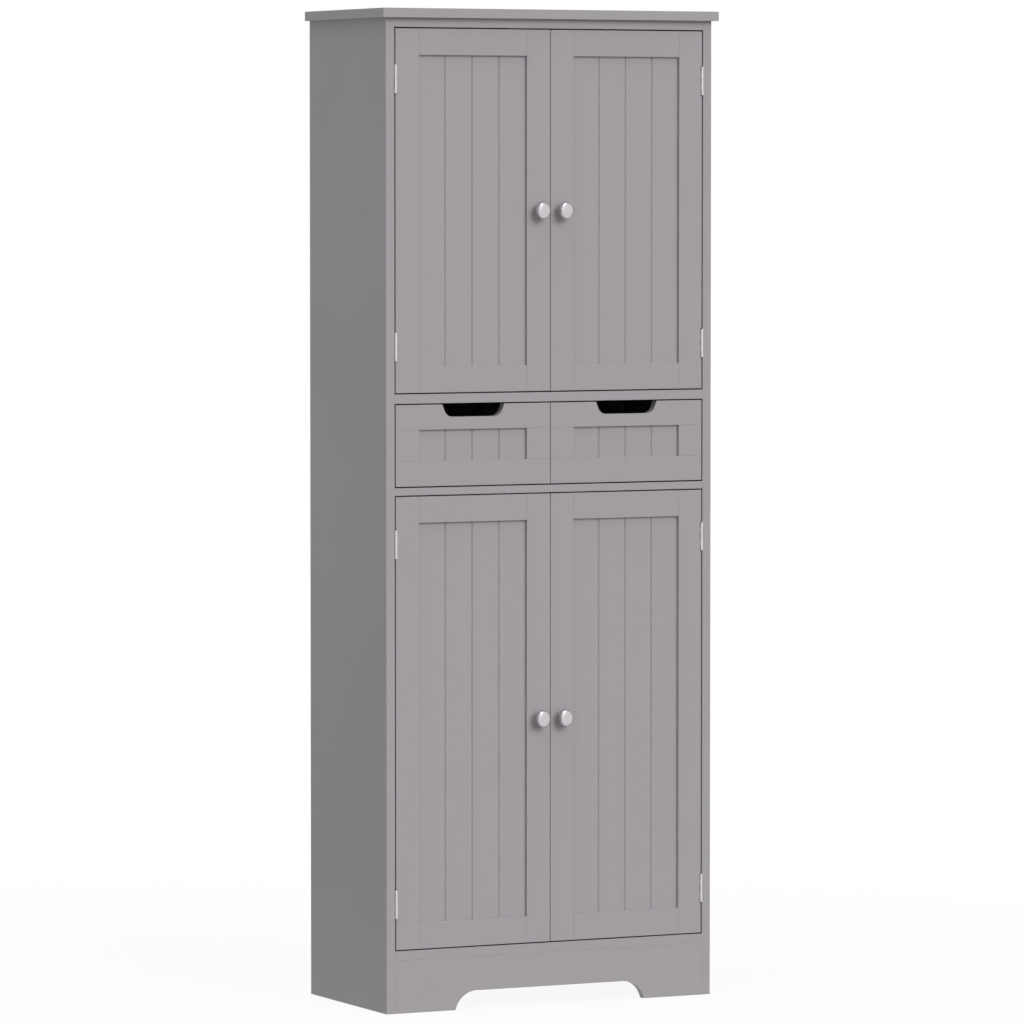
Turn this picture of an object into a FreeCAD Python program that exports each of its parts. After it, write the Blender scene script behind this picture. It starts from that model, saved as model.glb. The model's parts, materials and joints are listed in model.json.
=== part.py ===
import FreeCAD, Part
import math
import os

from FreeCAD import Matrix, Vector

# Tall bathroom cabinet: two panelled doors above, two drawers side by side, two taller panelled doors
# below, a thin overhanging top and a plinth with a shallow arch.
# Millimetres. +Z is up, the front faces -Y. The origin is on the floor, midway across and midway
# between the knobs' faces and the rear edges.

# ---------------------------------------------------------------- carcass
opening_width = 553.0
side_thickness = 15.0
carcass_depth = 290.0
plinth_height = 85.0
plinth_thickness = 12.0
bottom_thickness = 15.0
lower_opening_height = 727.0
lower_shelf_thickness = 12.0
drawer_opening_height = 134.0
upper_shelf_thickness = 15.0
upper_opening_height = 582.0
top_rail_height = 15.0
top_rail_depth = 60.0
top_thickness = 15.0
top_overhang_side = 8.5
top_overhang_front = 10.0
divider_thickness = 15.0
divider_clearance = 1.0
back_thickness = 3.0
back_inset = 10.0
back_groove_depth = 6.0
board_arris = 0.3

# ---------------------------------------------------------------- plinth arch
arch_height = 30.0
arch_foot_width = 107.0
arch_corner_radius = 38.4

# ---------------------------------------------------------------- doors and drawer fronts
front_thickness = 15.0
hinge_side_gap = 2.0
reveal = 2.0
meeting_gap = 1.0
stile_width = 41.5
door_rail_height = 42.0
drawer_top_rail_height = 40.0
drawer_bottom_rail_height = 40.0
panel_recess = 5.0
panel_thickness = 5.0
panel_groove_depth = 6.0
panel_play = 1.0
tongue_clearance = 0.1
bead_width = 3.0
bead_depth = 1.5
boards_per_panel = 4
front_arris = 0.4

# ---------------------------------------------------------------- finger cut-outs in the drawer fronts
pull_width = 110.0
pull_depth = 20.0
pull_slope_deg = 70.0
pull_fillet = 16.0
pull_least_straight = 2.0

# ---------------------------------------------------------------- knobs
knob_from_edge = 20.0
knob_height = 28.5
knob_width = 24.0
knob_projection = 24.0
knob_foot_radius = 7.0
knob_foot_depth = 1.8
knob_neck_radius = 4.6
knob_neck_flare = 0.8
knob_neck_end = 9.5
knob_back_bulge = 0.3
knob_rim_depth = 14.0
knob_rim_width = 2.0
knob_screw_radius = 2.0
knob_screw_bite = 9.0
knob_screw_head_radius = 4.0
knob_screw_head_height = 2.0

# ---------------------------------------------------------------- butt hinges
hinge_length = 46.0
hinge_end_clearance = 1.0
hinge_leaf_thickness = 1.2
hinge_leaf_reach = 13.0
hinge_knuckle_radius = 1.9
hinge_swage = 0.6
hinge_knuckles = 5
hinge_knuckle_gap = 0.3
hinge_pin_radius = 0.9
hinge_pin_clearance = 0.05
hinge_pin_proud = 1.3
hinge_screw_spread = 28.0
hinge_screw_setback = 7.5
upper_hinge_from_top = 80.0
lower_hinge_from_top = 75.5
hinge_from_bottom = 73.5

# ---------------------------------------------------------------- countersunk screws
screw_radius = 1.4
screw_head_radius = 2.6
screw_head_height = 1.3
screw_tip_length = 2.0
screw_length = 12.0
rail_screw_length = 20.0
hole_clearance = 0.05

# ---------------------------------------------------------------- dowels and cam fittings
dowel_radius = 4.0
dowel_in_edge = 20.0
dowel_in_face = 8.0
dowel_end_room = 0.5
dowel_spacing = 32.0
joint_inset = 50.0
top_rail_dowel_inset = 18.0
cam_radius = 7.5
cam_distance = 24.0
cam_skin = 2.0
cam_slot_length = 9.0
cam_slot_width = 1.6
cam_slot_depth = 2.0
cam_bolt_radius = 3.0
cam_bolt_in_side = 9.0
cam_bolt_in_cam = 4.0

# ---------------------------------------------------------------- adjustable shelves
shelf_thickness = 15.0
shelf_end_clearance = 1.0
shelf_setback = 12.0
shelf_back_clearance = 1.0
pin_radius = 2.5
pin_depth = 9.0
pin_hole_depth = 10.0
pin_pad_reach = 8.0
pin_pad_width = 8.0
pin_pad_thickness = 2.0
pin_hole_pitch = 32.0
pin_holes = 5
pin_front_inset = 32.0
pin_rear_inset = 38.0
upper_pin_row_height = 227.0
lower_pin_row_height = 300.0

# ---------------------------------------------------------------- magnetic catches
catch_width = 42.0
catch_depth = 14.0
catch_height = 13.0
catch_from_edge = 48.0
catch_gap = 0.3
catch_ear_thickness = 3.0
catch_ear_length = 9.0
magnet_width = 16.0
pole_proud = 1.0
pole_depth = 1.5
pole_thickness = 1.2
pole_inset = 2.0
strike_width = 30.0
strike_height = 12.0
strike_thickness = 1.2
strike_corner_radius = 3.0
strike_below_top = 2.0

# ---------------------------------------------------------------- drawer boxes
drawer_back_room = 37.0
drawer_side_thickness = 12.0
drawer_side_height = 88.0
drawer_side_clearance = 12.5
drawer_bottom_thickness = 3.0
drawer_bottom_rise = 10.0
drawer_bottom_groove = 5.0

# ---------------------------------------------------------------- roller runners
rail_sheet = 1.0
rail_height = 24.0
rail_back_room = 22.0
rail_lift = 6.0
rail_front_inset = 2.0
rail_lower_flange = 8.5
rail_lip_height = 2.0
rail_upper_flange = 3.5
drawer_rail_track = 6.0
front_roller_radius = 8.7
rear_roller_radius = 10.2
roller_width = 5.5
roller_running_gap = 0.3
roller_from_end = 12.0
axle_radius = 3.0
axle_clearance = 0.05
axle_head_radius = 4.2
axle_head_thickness = 0.8
rail_screw_inset = 40.0
rail_screw_stagger = 16.0
drawer_screw_inset = 45.0
roller_face_room = 1.5
roller_bevel = 1.0
roller_bevel_width = 0.6

# ---------------------------------------------------------------- levels and faces worked out from these
carcass_width = opening_width + 2 * side_thickness
bottom_z = plinth_height
lower_floor_z = bottom_z + bottom_thickness
lower_shelf_z = lower_floor_z + lower_opening_height
drawer_floor_z = lower_shelf_z + lower_shelf_thickness
upper_shelf_z = drawer_floor_z + drawer_opening_height
upper_floor_z = upper_shelf_z + upper_shelf_thickness
top_rail_z = upper_floor_z + upper_opening_height
carcass_height = top_rail_z + top_rail_height

inner_x = opening_width / 2
outer_x = carcass_width / 2
back_y = (carcass_depth + max(knob_projection, top_overhang_front)) / 2
front_y = back_y - carcass_depth
panel_back_y = back_y - back_inset
board_back_y = panel_back_y - back_thickness
behind_front_y = front_y + front_thickness

door_edge_x = inner_x - hinge_side_gap
free_edge_x = meeting_gap / 2
hinge_x = inner_x - hinge_knuckle_radius
hinge_y = front_y - hinge_pin_proud
leaf_seat_x = hinge_x - hinge_knuckle_radius - hinge_swage
knob_x = free_edge_x + knob_from_edge
catch_x = free_edge_x + catch_from_edge

drawer_front_z = drawer_floor_z + reveal
drawer_front_top_z = upper_shelf_z - reveal
rail_z = drawer_floor_z + rail_lift
rail_front_y = behind_front_y + rail_front_inset
rail_back_y = board_back_y - rail_back_room
drawer_back_y = board_back_y - drawer_back_room
drawer_side_z = rail_z + rail_lip_height + rail_sheet
track_z = rail_z + rail_height - 2 * rail_sheet
front_roller_y = rail_front_y + roller_from_end
front_roller_z = track_z - roller_running_gap - front_roller_radius
rear_roller_y = rail_back_y - rail_front_inset - roller_from_end
rear_roller_z = rail_z + rail_sheet + roller_running_gap + rear_roller_radius

pin_hole_used = pin_holes // 2
front_pin_y = behind_front_y + shelf_setback + pin_front_inset
rear_pin_y = board_back_y - shelf_back_clearance - pin_rear_inset
joint_ys = (front_y + joint_inset, board_back_y - joint_inset)
dowel_ys = (joint_ys[0] + dowel_spacing, joint_ys[1] - dowel_spacing)


# ---------------------------------------------------------------- plain forms
same_level = 1e-6


def block(x0, x1, y0, y1, z0, z1):
    """Rectangular solid between two opposite corners, given in any order."""
    low = Vector(min(x0, x1), min(y0, y1), min(z0, z1))
    return Part.makeBox(abs(x1 - x0), abs(y1 - y0), abs(z1 - z0), low)


def rod(radius, start, end):
    """Round bar from one point to another."""
    run = end - start
    return Part.makeCylinder(radius, run.Length, start, run)


def prism(edges, thickness):
    """Closed outline in the XZ plane, drawn as edges and carried back from the front plane."""
    solid = Part.Face(Part.Wire(edges)).extrude(Vector(0, thickness, 0))
    solid.translate(Vector(0, front_y, 0))
    return solid


def line(a, b):
    return Part.LineSegment(a, b).toShape()


def polygon(corners):
    """Edges that join the corners in turn and close."""
    return [line(a, b) for a, b in zip(corners, corners[1:] + corners[:1])]


def eased_front(solid, y, size):
    """Take the arris off every edge that lies in the plane of the front face."""
    edges = [e for e in solid.Edges if all(abs(v.Y - y) < same_level for v in e.Vertexes)]
    return solid.makeChamfer(size, edges)


def drilled(solid, tools):
    """Cut the tools that reach the solid."""
    near = [t for t in tools if solid.BoundBox.intersect(t.BoundBox)]
    return solid.cut(near) if near else solid


def mirrored(shape, side):
    """Shape drawn for the right half, on the side asked for: 1 right, -1 left."""
    return shape if side > 0 else shape.mirror(Vector(0, 0, 0), Vector(1, 0, 0))


def turned(profile, start, direction):
    """Solid of revolution: radius and distance pairs about an axis from start along direction."""
    points = [Vector(radius, 0, along) for radius, along in profile]
    wire = Part.Wire(polygon(points))
    solid = Part.Face(wire).revolve(Vector(0, 0, 0), Vector(0, 0, 1), 360)
    turn = FreeCAD.Rotation(Vector(0, 0, 1), direction)
    solid.Placement = FreeCAD.Placement(start, turn)
    return solid


def screw(start, direction, length=screw_length, grow=0.0):
    """Countersunk screw with its head's face at start; grow makes the hole that it sits in."""
    shank = screw_radius + grow
    neck = screw_head_height + grow
    profile = [(0, 0), (screw_head_radius + grow, 0), (shank, neck)]
    profile += [(shank, length - screw_tip_length + grow), (0, length + grow)]
    return turned(profile, start, direction)


def screw_hole(start, direction, length=screw_length):
    return screw(start, direction, length, hole_clearance)


# ---------------------------------------------------------------- where the fastenings are
def dowel_spots():
    """Pairs of point and direction: each dowel crosses a joint, and its direction is into the edge."""
    spots = []
    for side in (-1, 1):
        inward = Vector(-side, 0, 0)
        for low, thick in fixed_boards():
            for y in dowel_ys:
                spots.append((Vector(side * inner_x, y, low + thick / 2), inward))
        rail_mid_z = top_rail_z + top_rail_height / 2
        for y in (front_y + top_rail_dowel_inset, front_y + top_rail_depth - top_rail_dowel_inset):
            spots.append((Vector(side * inner_x, y, rail_mid_z), inward))
        plinth_mid_y = front_y + plinth_thickness / 2
        spots.append((Vector(side * inner_x, plinth_mid_y, (plinth_height + arch_height) / 2), inward))
        side_mid_x = side * (inner_x + side_thickness / 2)
        for y in joint_ys:
            spots.append((Vector(side_mid_x, y, carcass_height), Vector(0, 0, -1)))
        foot_mid_x = side * (inner_x - arch_foot_width / 2)
        spots.append((Vector(foot_mid_x, plinth_mid_y, plinth_height), Vector(0, 0, -1)))
    for y in dowel_ys:
        spots.append((Vector(0, y, drawer_floor_z), Vector(0, 0, 1)))
        spots.append((Vector(0, y, upper_shelf_z), Vector(0, 0, -1)))
    return spots


def fixed_boards():
    """Underside and thickness of each board that is fixed between the sides."""
    return (
        (bottom_z, bottom_thickness),
        (lower_shelf_z, lower_shelf_thickness),
        (upper_shelf_z, upper_shelf_thickness),
    )


def dowel(spot, grow=0.0, room=0.0):
    point, inward = spot
    return rod(dowel_radius + grow, point - inward * (dowel_in_face + room),
               point + inward * (dowel_in_edge + room))


def cam_spots():
    """Side, y, underside and thickness for each corner that a cam draws tight."""
    return [(side, y, low, thick)
            for side in (-1, 1) for low, thick in fixed_boards() for y in joint_ys]


def cam_bolt(spot, grow=0.0):
    side, y, low, thick = spot
    axis_z = low + thick / 2
    start = Vector(side * (inner_x + cam_bolt_in_side + grow), y, axis_z)
    end = Vector(side * (inner_x - cam_distance + cam_radius - cam_bolt_in_cam - grow), y, axis_z)
    return rod(cam_bolt_radius + grow, start, end)


def cam_disc(spot, grow=0.0):
    side, y, low, thick = spot
    centre = Vector(side * (inner_x - cam_distance), y, low)
    return rod(cam_radius + grow, centre, centre + Vector(0, 0, thick - cam_skin + grow))


def cam_lock(spot):
    """Cam disc with its screwdriver slot and the socket that grips the bolt."""
    side, y, low, thick = spot
    x = side * (inner_x - cam_distance)
    slot = block(x - cam_slot_length / 2, x + cam_slot_length / 2, y - cam_slot_width / 2,
                 y + cam_slot_width / 2, low, low + cam_slot_depth)
    return cam_disc(spot).cut([slot, cam_bolt(spot, hole_clearance)])


def pin_spots():
    """Side, y and z of each hole for shelf pins, with a mark for those that hold a pin."""
    spots = []
    for floor_z, row_height in ((upper_floor_z, upper_pin_row_height), (lower_floor_z, lower_pin_row_height)):
        for side in (-1, 1):
            for y in (front_pin_y, rear_pin_y):
                for step in range(pin_holes):
                    z = floor_z + row_height + (step - pin_hole_used) * pin_hole_pitch
                    spots.append((side, y, z, step == pin_hole_used))
    return spots


def door_levels():
    """Name, bottom, top and distance from the top to the upper hinge for the two tiers of doors."""
    return (
        ("upper", upper_floor_z + reveal, top_rail_z - reveal, upper_hinge_from_top),
        ("lower", lower_floor_z + reveal, lower_shelf_z - reveal, lower_hinge_from_top),
    )


def hinge_heights():
    heights = []
    for _, low, high, drop in door_levels():
        heights += [high - drop, low + hinge_from_bottom]
    return heights


def leaf_screw_spots(heights):
    """Height and y of the screws in the leaves of the hinges at these heights."""
    y = front_y + hinge_screw_setback
    return [(y, z + step * hinge_screw_spread / 2) for z in heights for step in (-1, 1)]


def runner_walls():
    """Drawer side, wall face x and the direction from that wall towards the drawer."""
    half = divider_thickness / 2
    return (
        ("left", -inner_x, 1), ("left", -half, -1),
        ("right", half, 1), ("right", inner_x, -1),
    )


def rail_screw_spots():
    """Head point and direction of the screws that hold the cabinet rails to their walls."""
    spots = []
    for _, wall_x, sense in runner_walls():
        shift = rail_screw_stagger if sense < 0 else 0.0
        for y in (rail_front_y + rail_screw_inset, rail_back_y - rail_screw_inset):
            head = Vector(wall_x + sense * rail_sheet, y + shift, rail_z + rail_height / 2)
            spots.append((head, Vector(-sense, 0, 0)))
    return spots


def catch_screw_spots():
    """Head point of the upright screws in the ears of the catches, up into the board above."""
    spots = []
    y = catch_front_y() + catch_depth / 2
    for _, _, high, _ in door_levels():
        for side in (-1, 1):
            for step in (-1, 1):
                x = side * catch_x + step * (catch_width - catch_ear_length) / 2
                spots.append(Vector(x, y, high + reveal - catch_ear_thickness))
    return spots


def catch_front_y():
    return behind_front_y + strike_thickness + catch_gap


def carcass_screw_spots():
    """Head point, direction and length of every screw that stays with the carcass."""
    spots = []
    for side in (-1, 1):
        for y, z in leaf_screw_spots(hinge_heights()):
            head = Vector(side * (inner_x - hinge_leaf_thickness), y, z)
            spots.append((head, Vector(side, 0, 0), screw_length))
        top_rail_head = Vector(side * inner_x / 2, front_y + top_rail_depth / 2, top_rail_z)
        spots.append((top_rail_head, Vector(0, 0, 1), rail_screw_length))
    spots += [(head, direction, screw_length) for head, direction in rail_screw_spots()]
    spots += [(head, Vector(0, 0, 1), screw_length) for head in catch_screw_spots()]
    return spots


def carcass_holes():
    """Every hole that the fastenings need in the boards of the carcass."""
    holes = [dowel(spot, hole_clearance, dowel_end_room) for spot in dowel_spots()]
    for spot in cam_spots():
        holes += [cam_bolt(spot, hole_clearance), cam_disc(spot, hole_clearance)]
    for side, y, z, _ in pin_spots():
        start = Vector(side * inner_x, y, z)
        holes.append(rod(pin_radius, start, start + Vector(side * pin_hole_depth, 0, 0)))
    return holes + [screw_hole(*spot) for spot in carcass_screw_spots()]


# ---------------------------------------------------------------- carcass boards
def side_panel(side, holes):
    board = block(side * inner_x, side * outer_x, front_y, back_y, 0, carcass_height)
    board = eased_front(board, front_y, board_arris)
    groove = block(side * inner_x, side * (inner_x + back_groove_depth), board_back_y - hole_clearance,
                   panel_back_y + hole_clearance, 0, carcass_height)
    return drilled(board, holes + [groove])


def cross_board(low, thick, back, holes):
    """Level board between the sides, from the front plane to the depth asked for."""
    board = block(-inner_x, inner_x, front_y, back, low, low + thick)
    return drilled(eased_front(board, front_y, board_arris), holes)


def top_board(holes):
    half = outer_x + top_overhang_side
    slab = block(-half, half, front_y - top_overhang_front, back_y, carcass_height,
                 carcass_height + top_thickness)
    upright = [e for e in slab.Edges if abs(e.Vertexes[0].Z - e.Vertexes[1].Z) > same_level]
    raised = [e for e in slab.Edges if all(abs(v.Z - carcass_height - top_thickness) < same_level
                                           for v in e.Vertexes)]
    return drilled(slab.makeChamfer(board_arris, upright + raised), holes)


def arch_side(side):
    """Edges from the foot's inner corner up to the arch, and the point where the level top starts."""
    foot_x = inner_x - arch_foot_width
    centre_z = arch_height - arch_corner_radius
    start_z = max(centre_z, 0.0)
    reach = math.sqrt(arch_corner_radius ** 2 - (start_z - centre_z) ** 2)
    centre_x = foot_x - reach
    angle = (math.pi / 2 + math.atan2(start_z - centre_z, reach)) / 2
    start = Vector(side * foot_x, 0, start_z)
    middle = Vector(side * (centre_x + arch_corner_radius * math.cos(angle)), 0,
                    centre_z + arch_corner_radius * math.sin(angle))
    end = Vector(side * centre_x, 0, arch_height)
    foot = Vector(side * foot_x, 0, 0)
    edges = [] if start_z <= 0 else [line(foot, start)]
    return edges + [Part.Arc(start, middle, end).toShape()], foot, end


def plinth_board(holes):
    """Board under the bottom panel with a wide low arch between two feet."""
    left, left_foot, left_top = arch_side(-1)
    right, right_foot, right_top = arch_side(1)
    corners = [right_foot, Vector(inner_x, 0, 0), Vector(inner_x, 0, plinth_height),
               Vector(-inner_x, 0, plinth_height), Vector(-inner_x, 0, 0), left_foot]
    outline = [line(a, b) for a, b in zip(corners, corners[1:])]
    outline += left + [line(left_top, right_top)] + right
    board = prism(Part.sortEdges(outline)[0], plinth_thickness)
    return drilled(eased_front(board, front_y, board_arris), holes)


def drawer_divider(holes):
    half = divider_thickness / 2
    board = block(-half, half, behind_front_y + divider_clearance, board_back_y, drawer_floor_z,
                  upper_shelf_z)
    return drilled(board, holes)


def back_panel():
    half = inner_x + back_groove_depth - dowel_end_room
    return block(-half, half, board_back_y, panel_back_y, bottom_z, carcass_height)


def adjustable_shelf(row_z):
    half = inner_x - shelf_end_clearance
    front = behind_front_y + shelf_setback
    board = block(-half, half, front, board_back_y - shelf_back_clearance, row_z, row_z + shelf_thickness)
    return eased_front(board, front, board_arris)


def shelf_pin(side, y, z):
    """Peg in the side with a flat pad on which the shelf rests."""
    start = Vector(side * (inner_x + pin_depth), y, z)
    peg = rod(pin_radius - hole_clearance, start, Vector(side * (inner_x - pin_pad_reach), y, z))
    top_z = z + pin_radius
    pad = block(side * inner_x, side * (inner_x - pin_pad_reach), y - pin_pad_width / 2,
                y + pin_pad_width / 2, top_z - pin_pad_thickness, top_z)
    return peg.fuse(pad).removeSplitter()


# ---------------------------------------------------------------- frame-and-panel fronts
def groove_box(x0, x1, z0, z1, slack):
    """Space of the panel's edge inside the frame, with some slack across its thickness."""
    near = front_y + panel_recess
    return block(x0, x1, near - slack, near + panel_thickness + slack, z0, z1)


def front_member(x0, x1, z0, z1):
    """Stile or rail whose face is eased all round, so that each joint of the frame is a fine V line."""
    return eased_front(block(x0, x1, front_y, behind_front_y, z0, z1), front_y, front_arris)


def framed_front(x0, x1, z0, z1, low_rail, high_rail, rails_through=False):
    """Two stiles, two rails and a grooved panel between them, standing on the front plane.

    The members that run through carry a groove along their whole inner edge. The short members have
    stub tongues that fill its ends, and the panel floats in the groove all round.
    """
    in_x0, in_x1 = x0 + stile_width, x1 - stile_width
    in_z0, in_z1 = z0 + low_rail, z1 - high_rail
    depth = panel_groove_depth
    tongue = depth - tongue_clearance
    channel = groove_box(in_x0 - depth, in_x1 + depth, in_z0 - depth, in_z1 + depth, tongue_clearance)
    members = []
    if rails_through:
        run = groove_box(x0, x1, in_z0 - depth, in_z1 + depth, tongue_clearance)
        for low, high in ((z0, in_z0), (in_z1, z1)):
            members.append(front_member(x0, x1, low, high).cut(run))
        for start, stop in ((x0, in_x0), (in_x1, x1)):
            stile = front_member(start, stop, in_z0, in_z1).cut(channel)
            tenon = groove_box(start, stop, in_z0 - tongue, in_z1 + tongue, 0.0)
            edge = block(in_x0 - depth, in_x1 + depth, front_y, behind_front_y, z0, z1)
            members.append(stile.fuse(tenon.cut(edge)).removeSplitter())
    else:
        run = groove_box(in_x0 - depth, in_x1 + depth, z0, z1, tongue_clearance)
        for start, stop in ((x0, in_x0), (in_x1, x1)):
            members.append(front_member(start, stop, z0, z1).cut(run))
        for low, high in ((z0, in_z0), (in_z1, z1)):
            rail = front_member(in_x0, in_x1, low, high).cut(channel)
            tenon = groove_box(in_x0 - tongue, in_x1 + tongue, low, high, 0.0)
            edge = block(x0, x1, front_y, behind_front_y, in_z0 - depth, in_z1 + depth)
            members.append(rail.fuse(tenon.cut(edge)).removeSplitter())
    reach = depth - panel_play
    panel = groove_box(in_x0 - reach, in_x1 + reach, in_z0 - reach, in_z1 + reach, 0.0)
    return members, panel.cut(bead_cutters(in_x0, in_x1, in_z0 - reach, in_z1 + reach))


def bead_cutters(x0, x1, z0, z1):
    """V grooves that part the panel into equal boards."""
    face_y = front_y + panel_recess
    cutters = []
    for step in range(1, boards_per_panel):
        x = x0 + (x1 - x0) * step / boards_per_panel
        corners = [Vector(x - bead_width / 2, face_y, z0), Vector(x + bead_width / 2, face_y, z0),
                   Vector(x, face_y + bead_depth, z0)]
        cutters.append(Part.Face(Part.Wire(polygon(corners))).extrude(Vector(0, 0, z1 - z0)))
    return cutters


# ---------------------------------------------------------------- hinges
def knuckle_spans(z):
    """Low and high end of each knuckle of the hinge centred at z."""
    pitch = hinge_length / hinge_knuckles
    low = z - hinge_length / 2
    half_gap = hinge_knuckle_gap / 2
    return [(low + n * pitch + half_gap, low + (n + 1) * pitch - half_gap) for n in range(hinge_knuckles)]


def hinge_leaf(z, on_door):
    """Leaf for the right-hand side, with its rolled knuckles and countersunk holes."""
    outer = leaf_seat_x if on_door else inner_x
    inner = outer + hinge_leaf_thickness if on_door else outer - hinge_leaf_thickness
    plate_y = hinge_y + hinge_knuckle_radius + hinge_knuckle_gap
    half = hinge_length / 2
    leaf = block(outer, inner, plate_y, hinge_y + hinge_leaf_reach, z - half, z + half)
    bores = []
    for number, (low, high) in enumerate(knuckle_spans(z)):
        if (number % 2 == 1) != on_door:
            continue
        barrel = rod(hinge_knuckle_radius, Vector(hinge_x, hinge_y, low), Vector(hinge_x, hinge_y, high))
        tab = block(outer, inner, hinge_y, plate_y, low, high)
        leaf = leaf.fuse([barrel, tab])
        bores.append(rod(hinge_pin_radius + hinge_pin_clearance, Vector(hinge_x, hinge_y, low),
                         Vector(hinge_x, hinge_y, high)))
    direction = Vector(-1 if on_door else 1, 0, 0)
    holes = [screw_hole(Vector(inner, y, height), direction) for y, height in leaf_screw_spots([z])]
    return leaf.removeSplitter().cut(bores + holes)


def hinge_pin(z):
    half = (hinge_length - hinge_knuckle_gap) / 2
    return rod(hinge_pin_radius, Vector(hinge_x, hinge_y, z - half), Vector(hinge_x, hinge_y, z + half))


def hinge_gain(z):
    """Recess for the hinge in the door's edge."""
    half = hinge_length / 2 + hinge_end_clearance
    return block(leaf_seat_x, inner_x, front_y, behind_front_y, z - half, z + half)


# ---------------------------------------------------------------- knobs, strikes and catches
def knob(z):
    """Oval knob on a waisted neck, drawn round and then drawn in across its width."""
    rim = knob_height / 2
    foot = Vector(knob_foot_radius, 0, 0)
    foot_top = Vector(knob_foot_radius, 0, knob_foot_depth)
    waist = Vector(knob_neck_radius, 0, (knob_foot_depth + knob_neck_end) / 2)
    neck = Vector(knob_neck_radius + knob_neck_flare, 0, knob_neck_end)
    back = Vector((rim + neck.x) / 2, 0, knob_neck_end + (knob_rim_depth - knob_neck_end) * knob_back_bulge)
    rim_back = Vector(rim, 0, knob_rim_depth)
    rim_front = Vector(rim, 0, knob_rim_depth + knob_rim_width)
    crown = Vector(0, 0, knob_projection)
    rise = crown.z - rim_front.z
    dome_radius = (rim ** 2 + rise ** 2) / (2 * rise)
    half_angle = math.asin(rim / dome_radius) / 2
    dome = Vector(dome_radius * math.sin(half_angle), 0,
                  crown.z - dome_radius * (1 - math.cos(half_angle)))
    edges = [line(Vector(0, 0, 0), foot), line(foot, foot_top), Part.Arc(foot_top, waist, neck).toShape(),
             Part.Arc(neck, back, rim_back).toShape(), line(rim_back, rim_front),
             Part.Arc(rim_front, dome, crown).toShape(), line(crown, Vector(0, 0, 0))]
    body = Part.Face(Part.Wire(edges)).revolve(Vector(0, 0, 0), Vector(0, 0, 1), 360)
    squeeze = Matrix()
    squeeze.scale(knob_width / knob_height, 1.0, 1.0)
    body = body.transformGeometry(squeeze)
    body.Placement = FreeCAD.Placement(Vector(knob_x, front_y, z), FreeCAD.Rotation(Vector(1, 0, 0), 90))
    return body.cut(knob_screw(z, hole_clearance))


def knob_screw(z, grow=0.0):
    """Machine screw through the stile from behind, into the knob."""
    head = Vector(knob_x, behind_front_y, z)
    tip = Vector(knob_x, front_y - knob_screw_bite - grow, z)
    shank = rod(knob_screw_radius + grow, head, tip)
    if grow:
        return shank
    cap = rod(knob_screw_head_radius, head, head + Vector(0, knob_screw_head_height, 0))
    return shank.fuse(cap).removeSplitter()


def strike_screw_point(high):
    return Vector(catch_x, behind_front_y + strike_thickness, high - strike_below_top - strike_height / 2)


def strike_plate(high):
    top = high - strike_below_top
    plate = block(catch_x - strike_width / 2, catch_x + strike_width / 2, behind_front_y,
                  behind_front_y + strike_thickness, top - strike_height, top)
    corners = [e for e in plate.Edges if abs(e.Vertexes[0].Y - e.Vertexes[1].Y) > same_level]
    plate = plate.makeFillet(strike_corner_radius, corners)
    return plate.cut(screw_hole(strike_screw_point(high), Vector(0, -1, 0)))


def magnetic_catch(board_z):
    """Housing with a magnet between two steel poles at its mouth, hung by two ears."""
    y0 = catch_front_y()
    ears = block(catch_x - catch_width / 2, catch_x + catch_width / 2, y0, y0 + catch_depth,
                 board_z - catch_ear_thickness, board_z)
    half = catch_width / 2 - catch_ear_length
    housing = block(catch_x - half, catch_x + half, y0 + pole_proud, y0 + catch_depth,
                    board_z - catch_height, board_z)
    lowest = board_z - catch_height + pole_inset
    highest = board_z - catch_ear_thickness - pole_inset
    poles = [block(catch_x - magnet_width / 2, catch_x + magnet_width / 2, y0, y0 + pole_depth, z, z + step)
             for z, step in ((lowest, pole_thickness), (highest, -pole_thickness))]
    return ears.fuse([housing] + poles).removeSplitter()


# ---------------------------------------------------------------- doors
def door_nodes(tier, side, low, high, drop):
    """The separate pieces of one door, drawn for the right-hand side and then mirrored as needed."""
    heights = [high - drop, low + hinge_from_bottom]
    middle = (low + high) / 2
    members, panel = framed_front(free_edge_x, door_edge_x, low, high, door_rail_height, door_rail_height)
    screws = [(Vector(leaf_seat_x + hinge_leaf_thickness, y, z), Vector(-1, 0, 0))
              for y, z in leaf_screw_spots(heights)]
    screws.append((strike_screw_point(high), Vector(0, -1, 0)))
    cutters = [hinge_gain(z) for z in heights] + [knob_screw(middle, hole_clearance)]
    cutters += [screw_hole(*spot) for spot in screws]
    pieces = {
        "door_frame": [drilled(member, cutters) for member in members],
        "door_panel": [panel],
        "knob": [knob(middle)],
        "hinge_leaves": [hinge_leaf(z, True) for z in heights],
        "door_screws": [screw(*spot) for spot in screws] + [knob_screw(middle)],
        "strike_plate": [strike_plate(high)],
    }
    hand = "right" if side > 0 else "left"
    return {f"{tier}_{hand}_{name}": [mirrored(s, side) for s in solids] for name, solids in pieces.items()}


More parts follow.
